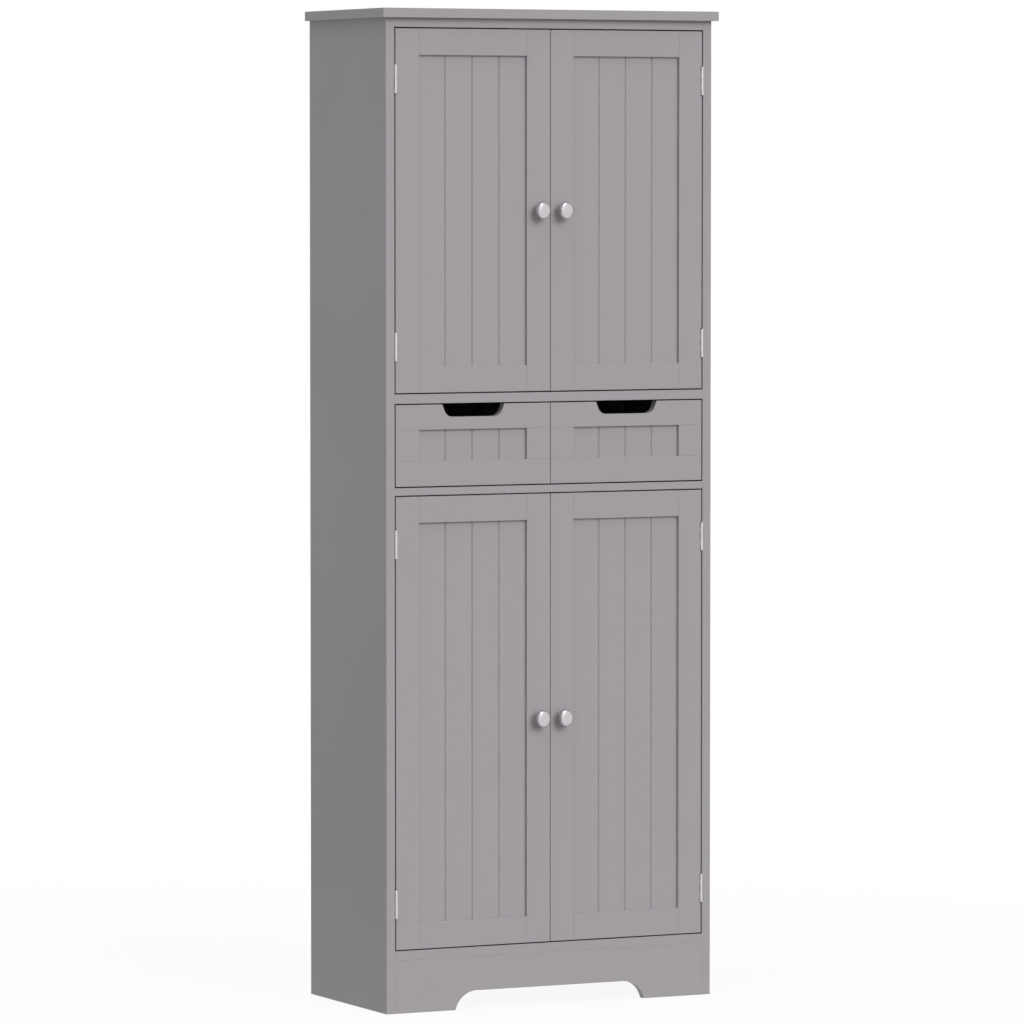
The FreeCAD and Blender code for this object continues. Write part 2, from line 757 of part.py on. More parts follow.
# ---------------------------------------------------------------- drawers
def pull_outline(x0, x1, low, high):
    """Outline of the top rail with the finger cut-out sunk into its upper edge."""
    mid = (x0 + x1) / 2
    slope = math.radians(pull_slope_deg)
    foot = pull_width / 2 - pull_depth / math.tan(slope)
    longest = pull_depth / math.sin(slope) - pull_least_straight
    tangent = min(pull_fillet * math.tan(slope / 2), longest)
    radius = tangent / math.tan(slope / 2)
    floor_z = high - pull_depth
    corners = [Vector(x0, 0, high), Vector(x0, 0, low), Vector(x1, 0, low), Vector(x1, 0, high)]
    edges = [line(a, b) for a, b in zip(corners, corners[1:])]
    flat = []
    for sign, corner in ((1, corners[3]), (-1, corners[0])):
        lip = Vector(mid + sign * pull_width / 2, 0, high)
        leave = Vector(mid + sign * (foot + tangent * math.cos(slope)), 0,
                       floor_z + tangent * math.sin(slope))
        land = Vector(mid + sign * (foot - tangent), 0, floor_z)
        centre = land + Vector(0, 0, radius)
        halfway = centre + Vector(sign * math.sin(slope / 2), 0, -math.cos(slope / 2)) * radius
        edges += [line(corner, lip), line(lip, leave), Part.Arc(leave, halfway, land).toShape()]
        flat.append(land)
    edges.append(line(*flat))
    return Part.sortEdges(edges)[0]


def drawer_front(x0, x1, bottom):
    """Framed front whose top rail has the finger cut-out and whose lower rail holds the drawer bottom."""
    z0, z1 = drawer_front_z, drawer_front_top_z
    members, panel = framed_front(x0, x1, z0, z1, drawer_bottom_rail_height, drawer_top_rail_height, True)
    low_rail, high_rail, near_stile, far_stile = members
    outline = pull_outline(x0, x1, z1 - drawer_top_rail_height - panel_groove_depth, z1)
    shape = prism(outline, front_thickness)
    held = bottom.BoundBox
    slot = block(held.XMin - hole_clearance, held.XMax + hole_clearance,
                 behind_front_y - drawer_bottom_groove, behind_front_y,
                 held.ZMin - hole_clearance, held.ZMax + hole_clearance)
    return [low_rail.cut(slot), high_rail.common(shape), near_stile, far_stile, panel]


def drawer_box(x0, x1):
    """Sides, back and thin bottom of a drawer between its two outer faces."""
    y0, y1 = behind_front_y, drawer_back_y
    z0, z1 = drawer_side_z, drawer_side_z + drawer_side_height
    floor_z = z0 + drawer_bottom_rise
    floor_top = floor_z + drawer_bottom_thickness
    in_x0, in_x1 = x0 + drawer_side_thickness, x1 - drawer_side_thickness
    slot = block(in_x0 - drawer_bottom_groove, in_x1 + drawer_bottom_groove, y0, y1,
                 floor_z - hole_clearance, floor_top + hole_clearance)
    reach = drawer_bottom_groove - dowel_end_room
    bottom = block(in_x0 - reach, in_x1 + reach, y0 - reach, y1, floor_z, floor_top)
    return {
        "side_left": [block(x0, in_x0, y0, y1, z0, z1).cut(slot)],
        "side_right": [block(in_x1, x1, y0, y1, z0, z1).cut(slot)],
        "back": [block(in_x0, in_x1, y1 - drawer_side_thickness, y1, floor_top, z1)],
        "bottom": [bottom],
    }


# ---------------------------------------------------------------- roller runners
def cabinet_rail(wall_x, sense, holes):
    """Channel on the wall: web, lower track with a lip, short upper guard and the front roller's axle."""
    y0, y1 = rail_front_y, rail_back_y
    z1 = rail_z + rail_height
    web_x = wall_x + sense * rail_sheet
    track_x = web_x + sense * rail_lower_flange
    web = block(wall_x, web_x, y0, y1, rail_z, z1)
    track = block(web_x, track_x, y0, y1, rail_z, rail_z + rail_sheet)
    lip = block(track_x, track_x - sense * rail_sheet, y0, y1, rail_z, rail_z + rail_sheet + rail_lip_height)
    guard = block(web_x, web_x + sense * rail_upper_flange, y0, y1, z1 - rail_sheet, z1)
    axle = axle_stub(web_x, sense, front_roller_y, front_roller_z, roller_face_room)
    return drilled(web.fuse([track, lip, guard] + axle).removeSplitter(), holes)


def axle_stub(web_x, sense, y, z, stand_off):
    """Riveted axle: shank through the roller and the head that keeps it on."""
    end_x = web_x + sense * (stand_off + roller_width + roller_running_gap)
    head_x = end_x + sense * axle_head_thickness
    return [rod(axle_radius, Vector(web_x, y, z), Vector(end_x, y, z)),
            rod(axle_head_radius, Vector(end_x, y, z), Vector(head_x, y, z))]


def drawer_rail_web_x(wall_x, sense):
    return wall_x + sense * (drawer_side_clearance - rail_sheet)


def rear_stand_off():
    """Room between the drawer rail's web and the rear roller, which lines up with the front one."""
    span = drawer_side_clearance - 2 * rail_sheet
    return span - roller_face_room - roller_width


def drawer_rail(wall_x, sense):
    """Angle under the drawer side with an outward track that rides on the front roller."""
    web_x = drawer_rail_web_x(wall_x, sense)
    side_x = web_x + sense * rail_sheet
    y0, y1 = behind_front_y, rear_roller_y + rear_roller_radius
    foot_z = drawer_side_z - rail_sheet
    web = block(web_x, side_x, y0, y1, foot_z, track_z + rail_sheet)
    foot = block(web_x, side_x + sense * drawer_side_thickness, y0, drawer_back_y, foot_z, drawer_side_z)
    track_end = rear_roller_y - rear_roller_radius - 2 * roller_running_gap
    track = block(side_x, web_x - sense * drawer_rail_track, y0, track_end, track_z, track_z + rail_sheet)
    axle = axle_stub(web_x, -sense, rear_roller_y, rear_roller_z, rear_stand_off())
    return web.fuse([foot, track] + axle).removeSplitter().cut(
        [screw_hole(*spot) for spot in drawer_rail_screws(wall_x, sense)])


def drawer_rail_screws(wall_x, sense):
    """Screws up through the drawer rail's foot into the drawer side."""
    x = drawer_rail_web_x(wall_x, sense) + sense * (rail_sheet + drawer_side_thickness / 2)
    foot_z = drawer_side_z - rail_sheet
    length = drawer_bottom_rise - rail_sheet
    return [(Vector(x, y, foot_z), Vector(0, 0, 1), length)
            for y in (behind_front_y + drawer_screw_inset, drawer_back_y - drawer_screw_inset)]


def roller(x, sense, y, z, radius):
    """Nylon roller with a bevelled rim and a bore that runs on the axle."""
    bore = axle_radius + axle_clearance
    bevel, shoulder = radius - roller_bevel, roller_width - roller_bevel_width
    profile = [(bore, 0), (bevel, 0), (radius, roller_bevel_width), (radius, shoulder),
               (bevel, roller_width), (bore, roller_width)]
    return turned(profile, Vector(x, y, z), Vector(sense, 0, 0))


def front_roller(wall_x, sense):
    x = wall_x + sense * (rail_sheet + roller_face_room)
    return roller(x, sense, front_roller_y, front_roller_z, front_roller_radius)


def rear_roller(wall_x, sense):
    x = drawer_rail_web_x(wall_x, sense) - sense * rear_stand_off()
    return roller(x, -sense, rear_roller_y, rear_roller_z, rear_roller_radius)


def drawer_nodes(hand):
    """The separate pieces of one drawer with its half of the runners."""
    walls = [(x, sense) for name, x, sense in runner_walls() if name == hand]
    (left_wall, _), (right_wall, _) = walls
    box = drawer_box(left_wall + drawer_side_clearance, right_wall - drawer_side_clearance)
    x0, x1 = (-door_edge_x, -free_edge_x) if hand == "left" else (free_edge_x, door_edge_x)
    screws = [spot for wall in walls for spot in drawer_rail_screws(*wall)]
    for name in ("side_left", "side_right"):
        box[name] = [drilled(box[name][0], [screw_hole(*spot) for spot in screws])]
    pieces = {
        "front": drawer_front(x0, x1, box["bottom"][0]),
        **box,
        "runners": [drawer_rail(*wall) for wall in walls] + [screw(*spot) for spot in screws],
        "front_rollers": [front_roller(*wall) for wall in walls],
        "rear_rollers": [rear_roller(*wall) for wall in walls],
    }
    return {f"{hand}_drawer_{name}": solids for name, solids in pieces.items()}


# ---------------------------------------------------------------- the whole cabinet
def carcass_nodes():
    holes = carcass_holes()
    pins = [(side, y, z) for side, y, z, used in pin_spots() if used]
    rows = {"upper": upper_floor_z + upper_pin_row_height, "lower": lower_floor_z + lower_pin_row_height}
    levels = door_levels()
    leaves = [mirrored(hinge_leaf(z, False), side) for side in (-1, 1) for z in hinge_heights()]
    catches = [mirrored(magnetic_catch(high + reveal), side) for _, _, high, _ in levels
               for side in (-1, 1)]
    rail_back = front_y + top_rail_depth
    return {
        "side_panel_left": [side_panel(-1, holes)],
        "side_panel_right": [side_panel(1, holes)],
        "top_panel": [top_board(holes)],
        "top_rail": [cross_board(top_rail_z, top_rail_height, rail_back, holes)],
        "upper_fixed_shelf": [cross_board(upper_shelf_z, upper_shelf_thickness, board_back_y, holes)],
        "lower_fixed_shelf": [cross_board(lower_shelf_z, lower_shelf_thickness, board_back_y, holes)],
        "bottom_panel": [cross_board(bottom_z, bottom_thickness, board_back_y, holes)],
        "plinth_board": [plinth_board(holes)],
        "drawer_divider": [drawer_divider(holes)],
        "back_panel": [back_panel()],
        "adjustable_shelf_upper": [adjustable_shelf(rows["upper"] + pin_radius)],
        "adjustable_shelf_lower": [adjustable_shelf(rows["lower"] + pin_radius)],
        "shelf_pins": [shelf_pin(*pin) for pin in pins],
        "cam_fittings": [piece(spot) for spot in cam_spots() for piece in (cam_lock, cam_bolt)],
        "wooden_dowels": [dowel(spot) for spot in dowel_spots()],
        "hinge_frame_leaves": leaves,
        "hinge_pins": [mirrored(hinge_pin(z), side) for side in (-1, 1) for z in hinge_heights()],
        "magnetic_catches": [drilled(catch, holes) for catch in catches],
        "cabinet_runners": [cabinet_rail(x, sense, holes) for _, x, sense in runner_walls()],
        "carcass_screws": [screw(*spot) for spot in carcass_screw_spots()],
    }


def write(name, solids):
    """Write one node as a STEP file: a single solid, or a group of separate ones."""
    shape = solids[0] if len(solids) == 1 else Part.makeCompound(solids)
    shape.exportStep(os.path.join("parts", name + ".step"))


def main():
    os.makedirs("parts", exist_ok=True)
    nodes = carcass_nodes()
    for tier, low, high, drop in door_levels():
        for side in (-1, 1):
            nodes.update(door_nodes(tier, side, low, high, drop))
    for hand in ("left", "right"):
        nodes.update(drawer_nodes(hand))
    for name, solids in nodes.items():
        write(name, solids)
    print(len(nodes), "nodes,", sum(len(solids) for solids in nodes.values()), "solids")


main()
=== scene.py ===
"""Finishes, turned knobs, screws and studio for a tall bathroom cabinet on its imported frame.

Metres throughout. The cabinet stands on the floor at z = 0, its front faces -Y and z is up. Boards,
framed fronts, hinges and runners are the frame's own nodes with a finish each; knobs and screws are
surfaces worked out here from the boxes of the nodes that they stand for.
"""

from __future__ import annotations

import json
import logging
import math
from dataclasses import dataclass, field
from enum import Enum
from functools import cache
from typing import Any, Mapping, Sequence, Union

import bpy
import numpy as np
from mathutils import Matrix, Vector

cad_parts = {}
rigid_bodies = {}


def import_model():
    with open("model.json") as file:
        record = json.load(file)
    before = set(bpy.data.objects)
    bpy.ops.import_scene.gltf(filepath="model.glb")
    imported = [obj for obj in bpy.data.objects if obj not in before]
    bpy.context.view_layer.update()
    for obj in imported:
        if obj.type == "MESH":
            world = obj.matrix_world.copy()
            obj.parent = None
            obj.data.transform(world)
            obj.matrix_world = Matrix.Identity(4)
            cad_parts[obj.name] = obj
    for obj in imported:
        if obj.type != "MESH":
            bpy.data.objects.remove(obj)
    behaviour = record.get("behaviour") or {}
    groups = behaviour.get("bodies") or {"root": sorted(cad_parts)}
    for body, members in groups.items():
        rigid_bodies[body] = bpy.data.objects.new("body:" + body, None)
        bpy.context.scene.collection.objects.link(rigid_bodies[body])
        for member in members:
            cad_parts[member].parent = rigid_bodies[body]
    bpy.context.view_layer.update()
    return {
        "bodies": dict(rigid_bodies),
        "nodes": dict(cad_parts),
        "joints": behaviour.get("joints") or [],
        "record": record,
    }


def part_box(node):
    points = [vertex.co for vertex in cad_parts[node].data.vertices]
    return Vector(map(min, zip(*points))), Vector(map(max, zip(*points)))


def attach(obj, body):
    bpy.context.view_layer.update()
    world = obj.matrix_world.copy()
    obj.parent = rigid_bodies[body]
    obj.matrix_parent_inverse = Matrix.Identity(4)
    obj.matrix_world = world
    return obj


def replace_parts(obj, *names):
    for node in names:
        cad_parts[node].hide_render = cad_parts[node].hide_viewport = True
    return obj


LOG = logging.getLogger("cabinet")
Colour = tuple[float, float, float]
Point = tuple[float, float, float]
SAME_PLACE_DIGITS = 5
WHITE = (1, 1, 1, 1)
FULL_TURN = 2 * math.pi


class Slot(str, Enum):
    """The record's material slots of the pieces that are made here."""

    NICKEL = "brushed_nickel"
    SCREW = "screw_steel"


class Axis(int, Enum):
    """The three directions of the cabinet's frame."""

    X = 0
    Y = 1
    Z = 2


class HeadForm(str, Enum):
    """Kinds of screw head in the cabinet."""

    COUNTERSUNK = "countersunk"
    PAN = "pan"


# ------------------------------------------------------------------------------------ shader graphs
class Signal:
    """An output socket; Python's operators on it add Math nodes and give the new output."""

    def __init__(self, graph: Graph, socket: bpy.types.NodeSocket) -> None:
        """Keep the socket and the graph that it belongs to."""
        self.graph = graph
        self.socket = socket

    def __getitem__(self, name: str) -> Signal:
        """Another output of the same node."""
        return Signal(self.graph, self.socket.node.outputs[name])

    def _math(self, operation: str, *operands: Value) -> Signal:
        """Math node with this operation on the operands."""
        inputs = dict(enumerate(operands))
        return self.graph.node("ShaderNodeMath", {"operation": operation}, inputs)

    def __add__(self, other: Value) -> Signal:
        """Sum."""
        return self._math("ADD", self, other)

    def __radd__(self, other: Value) -> Signal:
        """Sum with a number in front."""
        return self._math("ADD", other, self)

    def __sub__(self, other: Value) -> Signal:
        """Difference."""
        return self._math("SUBTRACT", self, other)

    def __rsub__(self, other: Value) -> Signal:
        """Difference from a number."""
        return self._math("SUBTRACT", other, self)

    def __mul__(self, other: Value) -> Signal:
        """Product."""
        return self._math("MULTIPLY", self, other)

    def __rmul__(self, other: Value) -> Signal:
        """Product with a number in front."""
        return self._math("MULTIPLY", other, self)

    def __gt__(self, other: Value) -> Signal:
        """1 where this is the larger, else 0."""
        return self._math("GREATER_THAN", self, other)

    def __lt__(self, other: Value) -> Signal:
        """1 where this is the smaller, else 0."""
        return self._math("LESS_THAN", self, other)

    def sine(self) -> Signal:
        """Sine of this angle in radians."""
        return self._math("SINE", self)

    def cosine(self) -> Signal:
        """Cosine of this angle in radians."""
        return self._math("COSINE", self)

    def most(self, other: Value) -> Signal:
        """The larger of the two."""
        return self._math("MAXIMUM", self, other)

    def swing(self, amount: float) -> Signal:
        """A noise from 0 to 1 turned into one about zero that is this wide."""
        return amount * (self - 0.5)

    def rise(self, start: float, stop: float) -> Signal:
        """Smooth step from 0 at start to 1 at stop.

        Args:
            start: Value up to which it is 0.
            stop: Value from which it is 1.

        Returns:
            The step.
        """
        settings = {"interpolation_type": "SMOOTHSTEP", "clamp": True}
        return self.graph.node("ShaderNodeMapRange", settings,
                               {"Value": self, "From Min": start, "From Max": stop})


Value = Union[Signal, float, Sequence[float]]


class Graph:
    """A node tree that is filled through one method."""

    MIX_FIRST, MIX_SECOND, MIX_RESULT = 6, 7, 2  # the Mix node's sockets for colours

    def __init__(self, tree: bpy.types.NodeTree) -> None:
        """Start from an empty tree."""
        self.tree = tree
        tree.nodes.clear()

    def node(self, kind: str, settings: Mapping[str, Any] | None = None,
             inputs: Mapping[str | int, Value] | None = None, output: str | int = 0) -> Signal:
        """Add one node.

        Args:
            kind: Blender's type name of the node.
            settings: Properties of the node, set before its sockets.
            inputs: Numbers, colours or signals for its input sockets, by name or place.
            output: The output that is wanted, by name or place.

        Returns:
            That output as a signal.
        """
        node = self.tree.nodes.new(kind)
        for name, value in (settings or {}).items():
            setattr(node, name, value)
        for name, value in (inputs or {}).items():
            socket = node.inputs[name]
            if isinstance(value, Signal):
                self.tree.links.new(value.socket, socket)
            else:
                socket.default_value = value
        return Signal(self, node.outputs[output])

    def end(self, kind: str, inputs: Mapping[str | int, Signal]) -> None:
        """Add an output node, which has no outputs of its own.

        Args:
            kind: Blender's type name of the node.
            inputs: Signals for its sockets, by name or place.
        """
        node = self.tree.nodes.new(kind)
        for name, value in inputs.items():
            self.tree.links.new(value.socket, node.inputs[name])

    def place(self) -> Signal:
        """Where the shaded point is on its own piece, in metres."""
        return self.node("ShaderNodeTexCoord", output="Object")

    def along(self) -> tuple[Signal, Signal, Signal]:
        """The place as its three numbers."""
        parts = self.node("ShaderNodeSeparateXYZ", inputs={0: self.place()})
        return parts, parts["Y"], parts["Z"]

    def vector(self, x: Value, y: Value, z: Value) -> Signal:
        """One vector from three numbers."""
        return self.node("ShaderNodeCombineXYZ", inputs={0: x, 1: y, 2: z})

    def noise(self, where: Signal, size: float, detail: float = 2.0,
              stretch: Point = (1, 1, 1)) -> Signal:
        """Soft noise from 0 to 1 about a mean of a half.

        Args:
            where: The vector that it is read at.
            size: Width of its blobs, in the vector's unit.
            detail: How many finer octaves it has.
            stretch: How many times longer the blobs are along each axis.

        Returns:
            The noise.
        """
        scale = tuple(1 / part for part in stretch)
        read = self.node("ShaderNodeMapping", {"vector_type": "POINT"},
                         {"Vector": where, "Scale": scale})
        return self.node("ShaderNodeTexNoise",
                         inputs={"Vector": read, "Scale": 1 / size, "Detail": detail})

    def cells(self, where: Signal, size: float) -> Signal:
        """Distance to the nearest of points strewn about this size apart, in their own spacing."""
        return self.node("ShaderNodeTexVoronoi", inputs={"Vector": where, "Scale": 1 / size})

    def shade(self, colour: Colour, tone: Signal) -> Signal:
        """The colour made lighter or darker by a factor."""
        return self.node("ShaderNodeVectorMath", {"operation": "SCALE"}, {0: colour, "Scale": tone})

    def blend(self, share: Signal, first: Value, second: Value) -> Signal:
        """First colour where the share is 0 and second where it is 1.

        Args:
            share: The second colour's share.
            first: Colour or signal at 0.
            second: Colour or signal at 1.

        Returns:
            The blend.
        """
        first, second = (end if isinstance(end, Signal) else (*end, 1) for end in (first, second))
        inputs = {0: share, self.MIX_FIRST: first, self.MIX_SECOND: second}
        return self.node("ShaderNodeMix", {"data_type": "RGBA"}, inputs, self.MIX_RESULT)

    def bump(self, height: Signal, depth: float) -> Signal:
        """Normal of a surface that this height from 0 to 1 raises by up to depth metres."""
        return self.node("ShaderNodeBump", inputs={"Height": height, "Distance": depth})


# ----------------------------------------------------------------------------------------- finishes
@dataclass(frozen=True)
class Finish:
    """Common part of every finish: its name and the numbers that are the same all over.

    In the finishes below a size, spacing, pitch, depth or relief is in metres. A stretch says how
    many times longer a mark is along each axis. A tone is how much a mark changes the brightness,
    and a sheen how much it changes the roughness. Edges are the values of a pattern between which
    its mark comes or goes.

    Attributes:
        name: Name of its material.
        colour: Its colour in linear light.
        roughness: Its roughness.
        metallic: Its share of metal.
        ior: Its index of refraction.
    """

    name: str
    colour: Colour
    roughness: float
    metallic: float = 0.0
    ior: float = 1.5

    @cache
    def material(self) -> bpy.types.Material:
        """The finish as a material, made when it is first asked for.

        Returns:
            The material.
        """
        made = bpy.data.materials.new(self.name)
        made.use_nodes = True
        made.diffuse_color = (*self.colour, 1)
        graph = Graph(made.node_tree)
        inputs = {"Base Color": (*self.colour, 1), "Roughness": self.roughness,
                  "Metallic": self.metallic, "IOR": self.ior, **self.skin(graph)}
        shader = graph.node("ShaderNodeBsdfPrincipled", inputs=inputs)
        graph.end("ShaderNodeOutputMaterial", {"Surface": shader})
        return made

    def skin(self, graph: Graph) -> dict[str, Value]:
        """What changes over the surface, by the shader's socket names."""
        raise NotImplementedError


@dataclass(frozen=True)
class SatinPaint(Finish):
    """Sprayed satin lacquer: an even colour with a fine orange-peel skin and a few dust nibs."""

    drift_size: float = 0.16
    drift_tone: float = 0.03
    drift_sheen: float = 0.12
    peel_size: float = 0.0016
    peel_tone: float = 0.02
    peel_sheen: float = 0.1
    peel_depth: float = 0.00006
    nib_spacing: float = 0.02
    nib_edges: tuple[float, float] = (0.012, 0.03)
    nib_height: float = 2.0

    def skin(self, graph: Graph) -> dict[str, Value]:
        """Slow drift of tone, orange peel in the normal and a little of both in the sheen.

        Args:
            graph: The material's graph.

        Returns:
            Signals for the shader's sockets, by name.
        """
        place = graph.place()
        drift = graph.noise(place, self.drift_size, detail=3)
        peel = graph.noise(place, self.peel_size, detail=1)
        nibs = 1 - graph.cells(place, self.nib_spacing).rise(*self.nib_edges)
        tone = 1 + drift.swing(self.drift_tone) + peel.swing(self.peel_tone)
        sheen = self.roughness + drift.swing(self.drift_sheen) + peel.swing(self.peel_sheen)
        return {"Base Color": graph.shade(self.colour, tone), "Roughness": sheen,
                "Normal": graph.bump(peel + self.nib_height * nibs, self.peel_depth)}


@dataclass(frozen=True)
class BrushedNickel(Finish):
    """Satin nickel brushed round the axis of the turned piece, read from its own UV map."""

    line_rows: float = 260.0
    line_turns: float = 1.6
    line_tone: float = 0.14
    line_sheen: float = 0.14
    line_depth: float = 0.00001
    cloud_size: float = 0.006
    cloud_sheen: float = 0.1

    def skin(self, graph: Graph) -> dict[str, Value]:
        """Fine rings: noise that is slow around the axis and quick along the profile.

        Args:
            graph: The material's graph.

        Returns:
            Signals for the shader's sockets, by name.
        """
        uv = graph.node("ShaderNodeUVMap", {"uv_map": "turning"})
        parts = graph.node("ShaderNodeSeparateXYZ", inputs={0: uv})
        angle = parts * FULL_TURN
        round_way = graph.vector(angle.cosine() * self.line_turns, angle.sine() * self.line_turns,
                                 parts["Y"] * self.line_rows)
        lines = graph.noise(round_way, 1.0)
        cloud = graph.noise(graph.place(), self.cloud_size)
        sheen = self.roughness + lines.swing(self.line_sheen) + cloud.swing(self.cloud_sheen)
        return {"Base Color": graph.shade(self.colour, 1 + lines.swing(self.line_tone)),
                "Roughness": sheen, "Normal": graph.bump(lines, self.line_depth)}


@dataclass(frozen=True)
class PlatedSteel(Finish):
    """Nickel-plated sheet or wire with drawing lines along one axis and faint clouding."""

    grain_axis: Axis = Axis.Z
    grain_length: float = 30.0
    grain_size: float = 0.00035
    grain_tone: float = 0.08
    grain_sheen: float = 0.12
    grain_depth: float = 0.00001
    cloud_size: float = 0.009
    cloud_tone: float = 0.04
    cloud_sheen: float = 0.12

    def skin(self, graph: Graph) -> dict[str, Value]:
        """Noise stretched along the grain, and soft clouds in the sheen.

        Args:
            graph: The material's graph.

        Returns:
            Signals for the shader's sockets, by name.
        """
        place = graph.place()
        stretch = tuple(self.grain_length if axis is self.grain_axis else 1.0 for axis in Axis)
        grain = graph.noise(place, self.grain_size, stretch=stretch)
        cloud = graph.noise(place, self.cloud_size, detail=3)
        tone = 1 + grain.swing(self.grain_tone) + cloud.swing(self.cloud_tone)
        sheen = self.roughness + grain.swing(self.grain_sheen) + cloud.swing(self.cloud_sheen)
        return {"Base Color": graph.shade(self.colour, tone), "Roughness": sheen,
                "Normal": graph.bump(grain, self.grain_depth)}


@dataclass(frozen=True)
class Hardboard(Finish):
    """Thin pressed board, lacquered white on one face and raw with a screen mark on the other."""

    raw_colour: Colour = (0.300, 0.180, 0.100)
    raw_side: Point = (0.0, 1.0, 0.0)
    raw_least: float = 0.62
    raw_roughness: float = 0.4
    across: tuple[Axis, Axis] = (Axis.X, Axis.Z)
    screen_pitch: float = 0.0022
    screen_tone: float = 0.35
    fibre_size: float = 0.0012
    fibre_tones: tuple[float, float] = (0.02, 0.3)
    fibre_sheen: float = 0.1
    fibre_height: float = 0.25
    patch_size: float = 0.03
    patch_tones: tuple[float, float] = (0.04, 0.2)
    relief: float = 0.00012

    def skin(self, graph: Graph) -> dict[str, Value]:
        """White or raw by which way the face looks; the screen is the product of two sines.

        Of each pair of tones, the first is the white face's and the second the raw face's.

        Args:
            graph: The material's graph.

        Returns:
            Signals for the shader's sockets, by name.
        """
        normal = graph.node("ShaderNodeNewGeometry", output="Normal")
        facing = graph.node("ShaderNodeVectorMath", {"operation": "DOT_PRODUCT"},
                            {0: normal, 1: self.raw_side}, "Value")
        raw = facing > 0.5
        place = graph.place()
        ways = graph.along()
        waves = [(ways[axis] * (FULL_TURN / self.screen_pitch)).sine() for axis in self.across]
        screen = 0.5 + 0.5 * waves[0] * waves[1]
        fibre = graph.noise(place, self.fibre_size, detail=4)
        patch = graph.noise(place, self.patch_size, detail=3)
        white_tone = 1 + patch.swing(self.patch_tones[0]) + fibre.swing(self.fibre_tones[0])
        raw_tone = (self.raw_least + self.screen_tone * screen + self.fibre_tones[1] * fibre
                    + self.patch_tones[1] * patch)
        return {"Base Color": graph.blend(raw, graph.shade(self.colour, white_tone),
                                          graph.shade(self.raw_colour, raw_tone)),
                "Roughness": self.roughness + raw * self.raw_roughness
                + fibre.swing(self.fibre_sheen),
                "Normal": graph.bump(self.fibre_height * fibre + raw * screen, self.relief)}


@dataclass(frozen=True)
class Melamine(Finish):
    """Board faced with a light foil that has short pores along the drawer's depth."""

    least_tone: float = 0.9
    pore_size: float = 0.0006
    pore_stretch: Point = (1.0, 26.0, 1.0)
    pore_edges: tuple[float, float] = (0.3, 0.42)
    pore_tone: float = 0.05
    pore_sheen: float = 0.12
    pore_depth: float = 0.00003
    band_size: float = 0.014
    band_stretch: Point = (1.0, 14.0, 1.0)
    band_tone: float = 0.08
    band_sheen: float = 0.06

    def skin(self, graph: Graph) -> dict[str, Value]:
        """Pores are the low part of a noise drawn out along y.

        Args:
            graph: The material's graph.

        Returns:
            Signals for the shader's sockets, by name.
        """
        place = graph.place()
        pores = graph.noise(place, self.pore_size, stretch=self.pore_stretch).rise(*self.pore_edges)
        band = graph.noise(place, self.band_size, detail=3, stretch=self.band_stretch)
        tone = self.least_tone + self.pore_tone * pores + self.band_tone * band
        sheen = self.roughness + self.pore_sheen * (1 - pores) + band.swing(self.band_sheen)
        return {"Base Color": graph.shade(self.colour, tone), "Roughness": sheen,
                "Normal": graph.bump(pores, self.pore_depth)}


@dataclass(frozen=True)
class PowderCoat(Finish):
    """Baked powder on sheet steel: small round blisters under a soft gloss."""

    blister_size: float = 0.0011
    blister_tone: float = 0.04
    blister_sheen: float = 0.05
    blister_depth: float = 0.00003
    drift_size: float = 0.02
    drift_tone: float = 0.04
    drift_sheen: float = 0.1

    def skin(self, graph: Graph) -> dict[str, Value]:
        """Blisters are the distance to strewn points, and the tone follows them a little.

        Args:
            graph: The material's graph.

        Returns:
            Signals for the shader's sockets, by name.
        """
        place = graph.place()
        blister = graph.cells(place, self.blister_size)
        drift = graph.noise(place, self.drift_size)
        tone = 1 - self.blister_tone * blister + drift.swing(self.drift_tone)
        sheen = self.roughness + drift.swing(self.drift_sheen) + self.blister_sheen * blister
        return {"Base Color": graph.shade(self.colour, tone), "Roughness": sheen,
                "Normal": graph.bump(1 - blister, self.blister_depth)}


@dataclass(frozen=True)
class MouldedPlastic(Finish):
    """Moulded part with a spark-eroded skin and faint flow marks."""

    least_tone: float = 0.96
    erosion_size: float = 0.0004
    erosion_sheen: float = 0.12
    erosion_depth: float = 0.00002
    flow_size: float = 0.012
    flow_stretch: Point = (1.0, 1.0, 3.0)
    flow_tone: float = 0.06
    flow_sheen: float = 0.08

    def skin(self, graph: Graph) -> dict[str, Value]:
        """Fine erosion in the normal and slow flow marks in colour and sheen.

        Args:
            graph: The material's graph.

        Returns:
            Signals for the shader's sockets, by name.
        """
        place = graph.place()
        erosion = graph.noise(place, self.erosion_size)
        flow = graph.noise(place, self.flow_size, stretch=self.flow_stretch)
        sheen = self.roughness + erosion.swing(self.erosion_sheen) + flow.swing(self.flow_sheen)
        return {"Base Color": graph.shade(self.colour, self.least_tone + self.flow_tone * flow),
                "Roughness": sheen, "Normal": graph.bump(erosion, self.erosion_depth)}


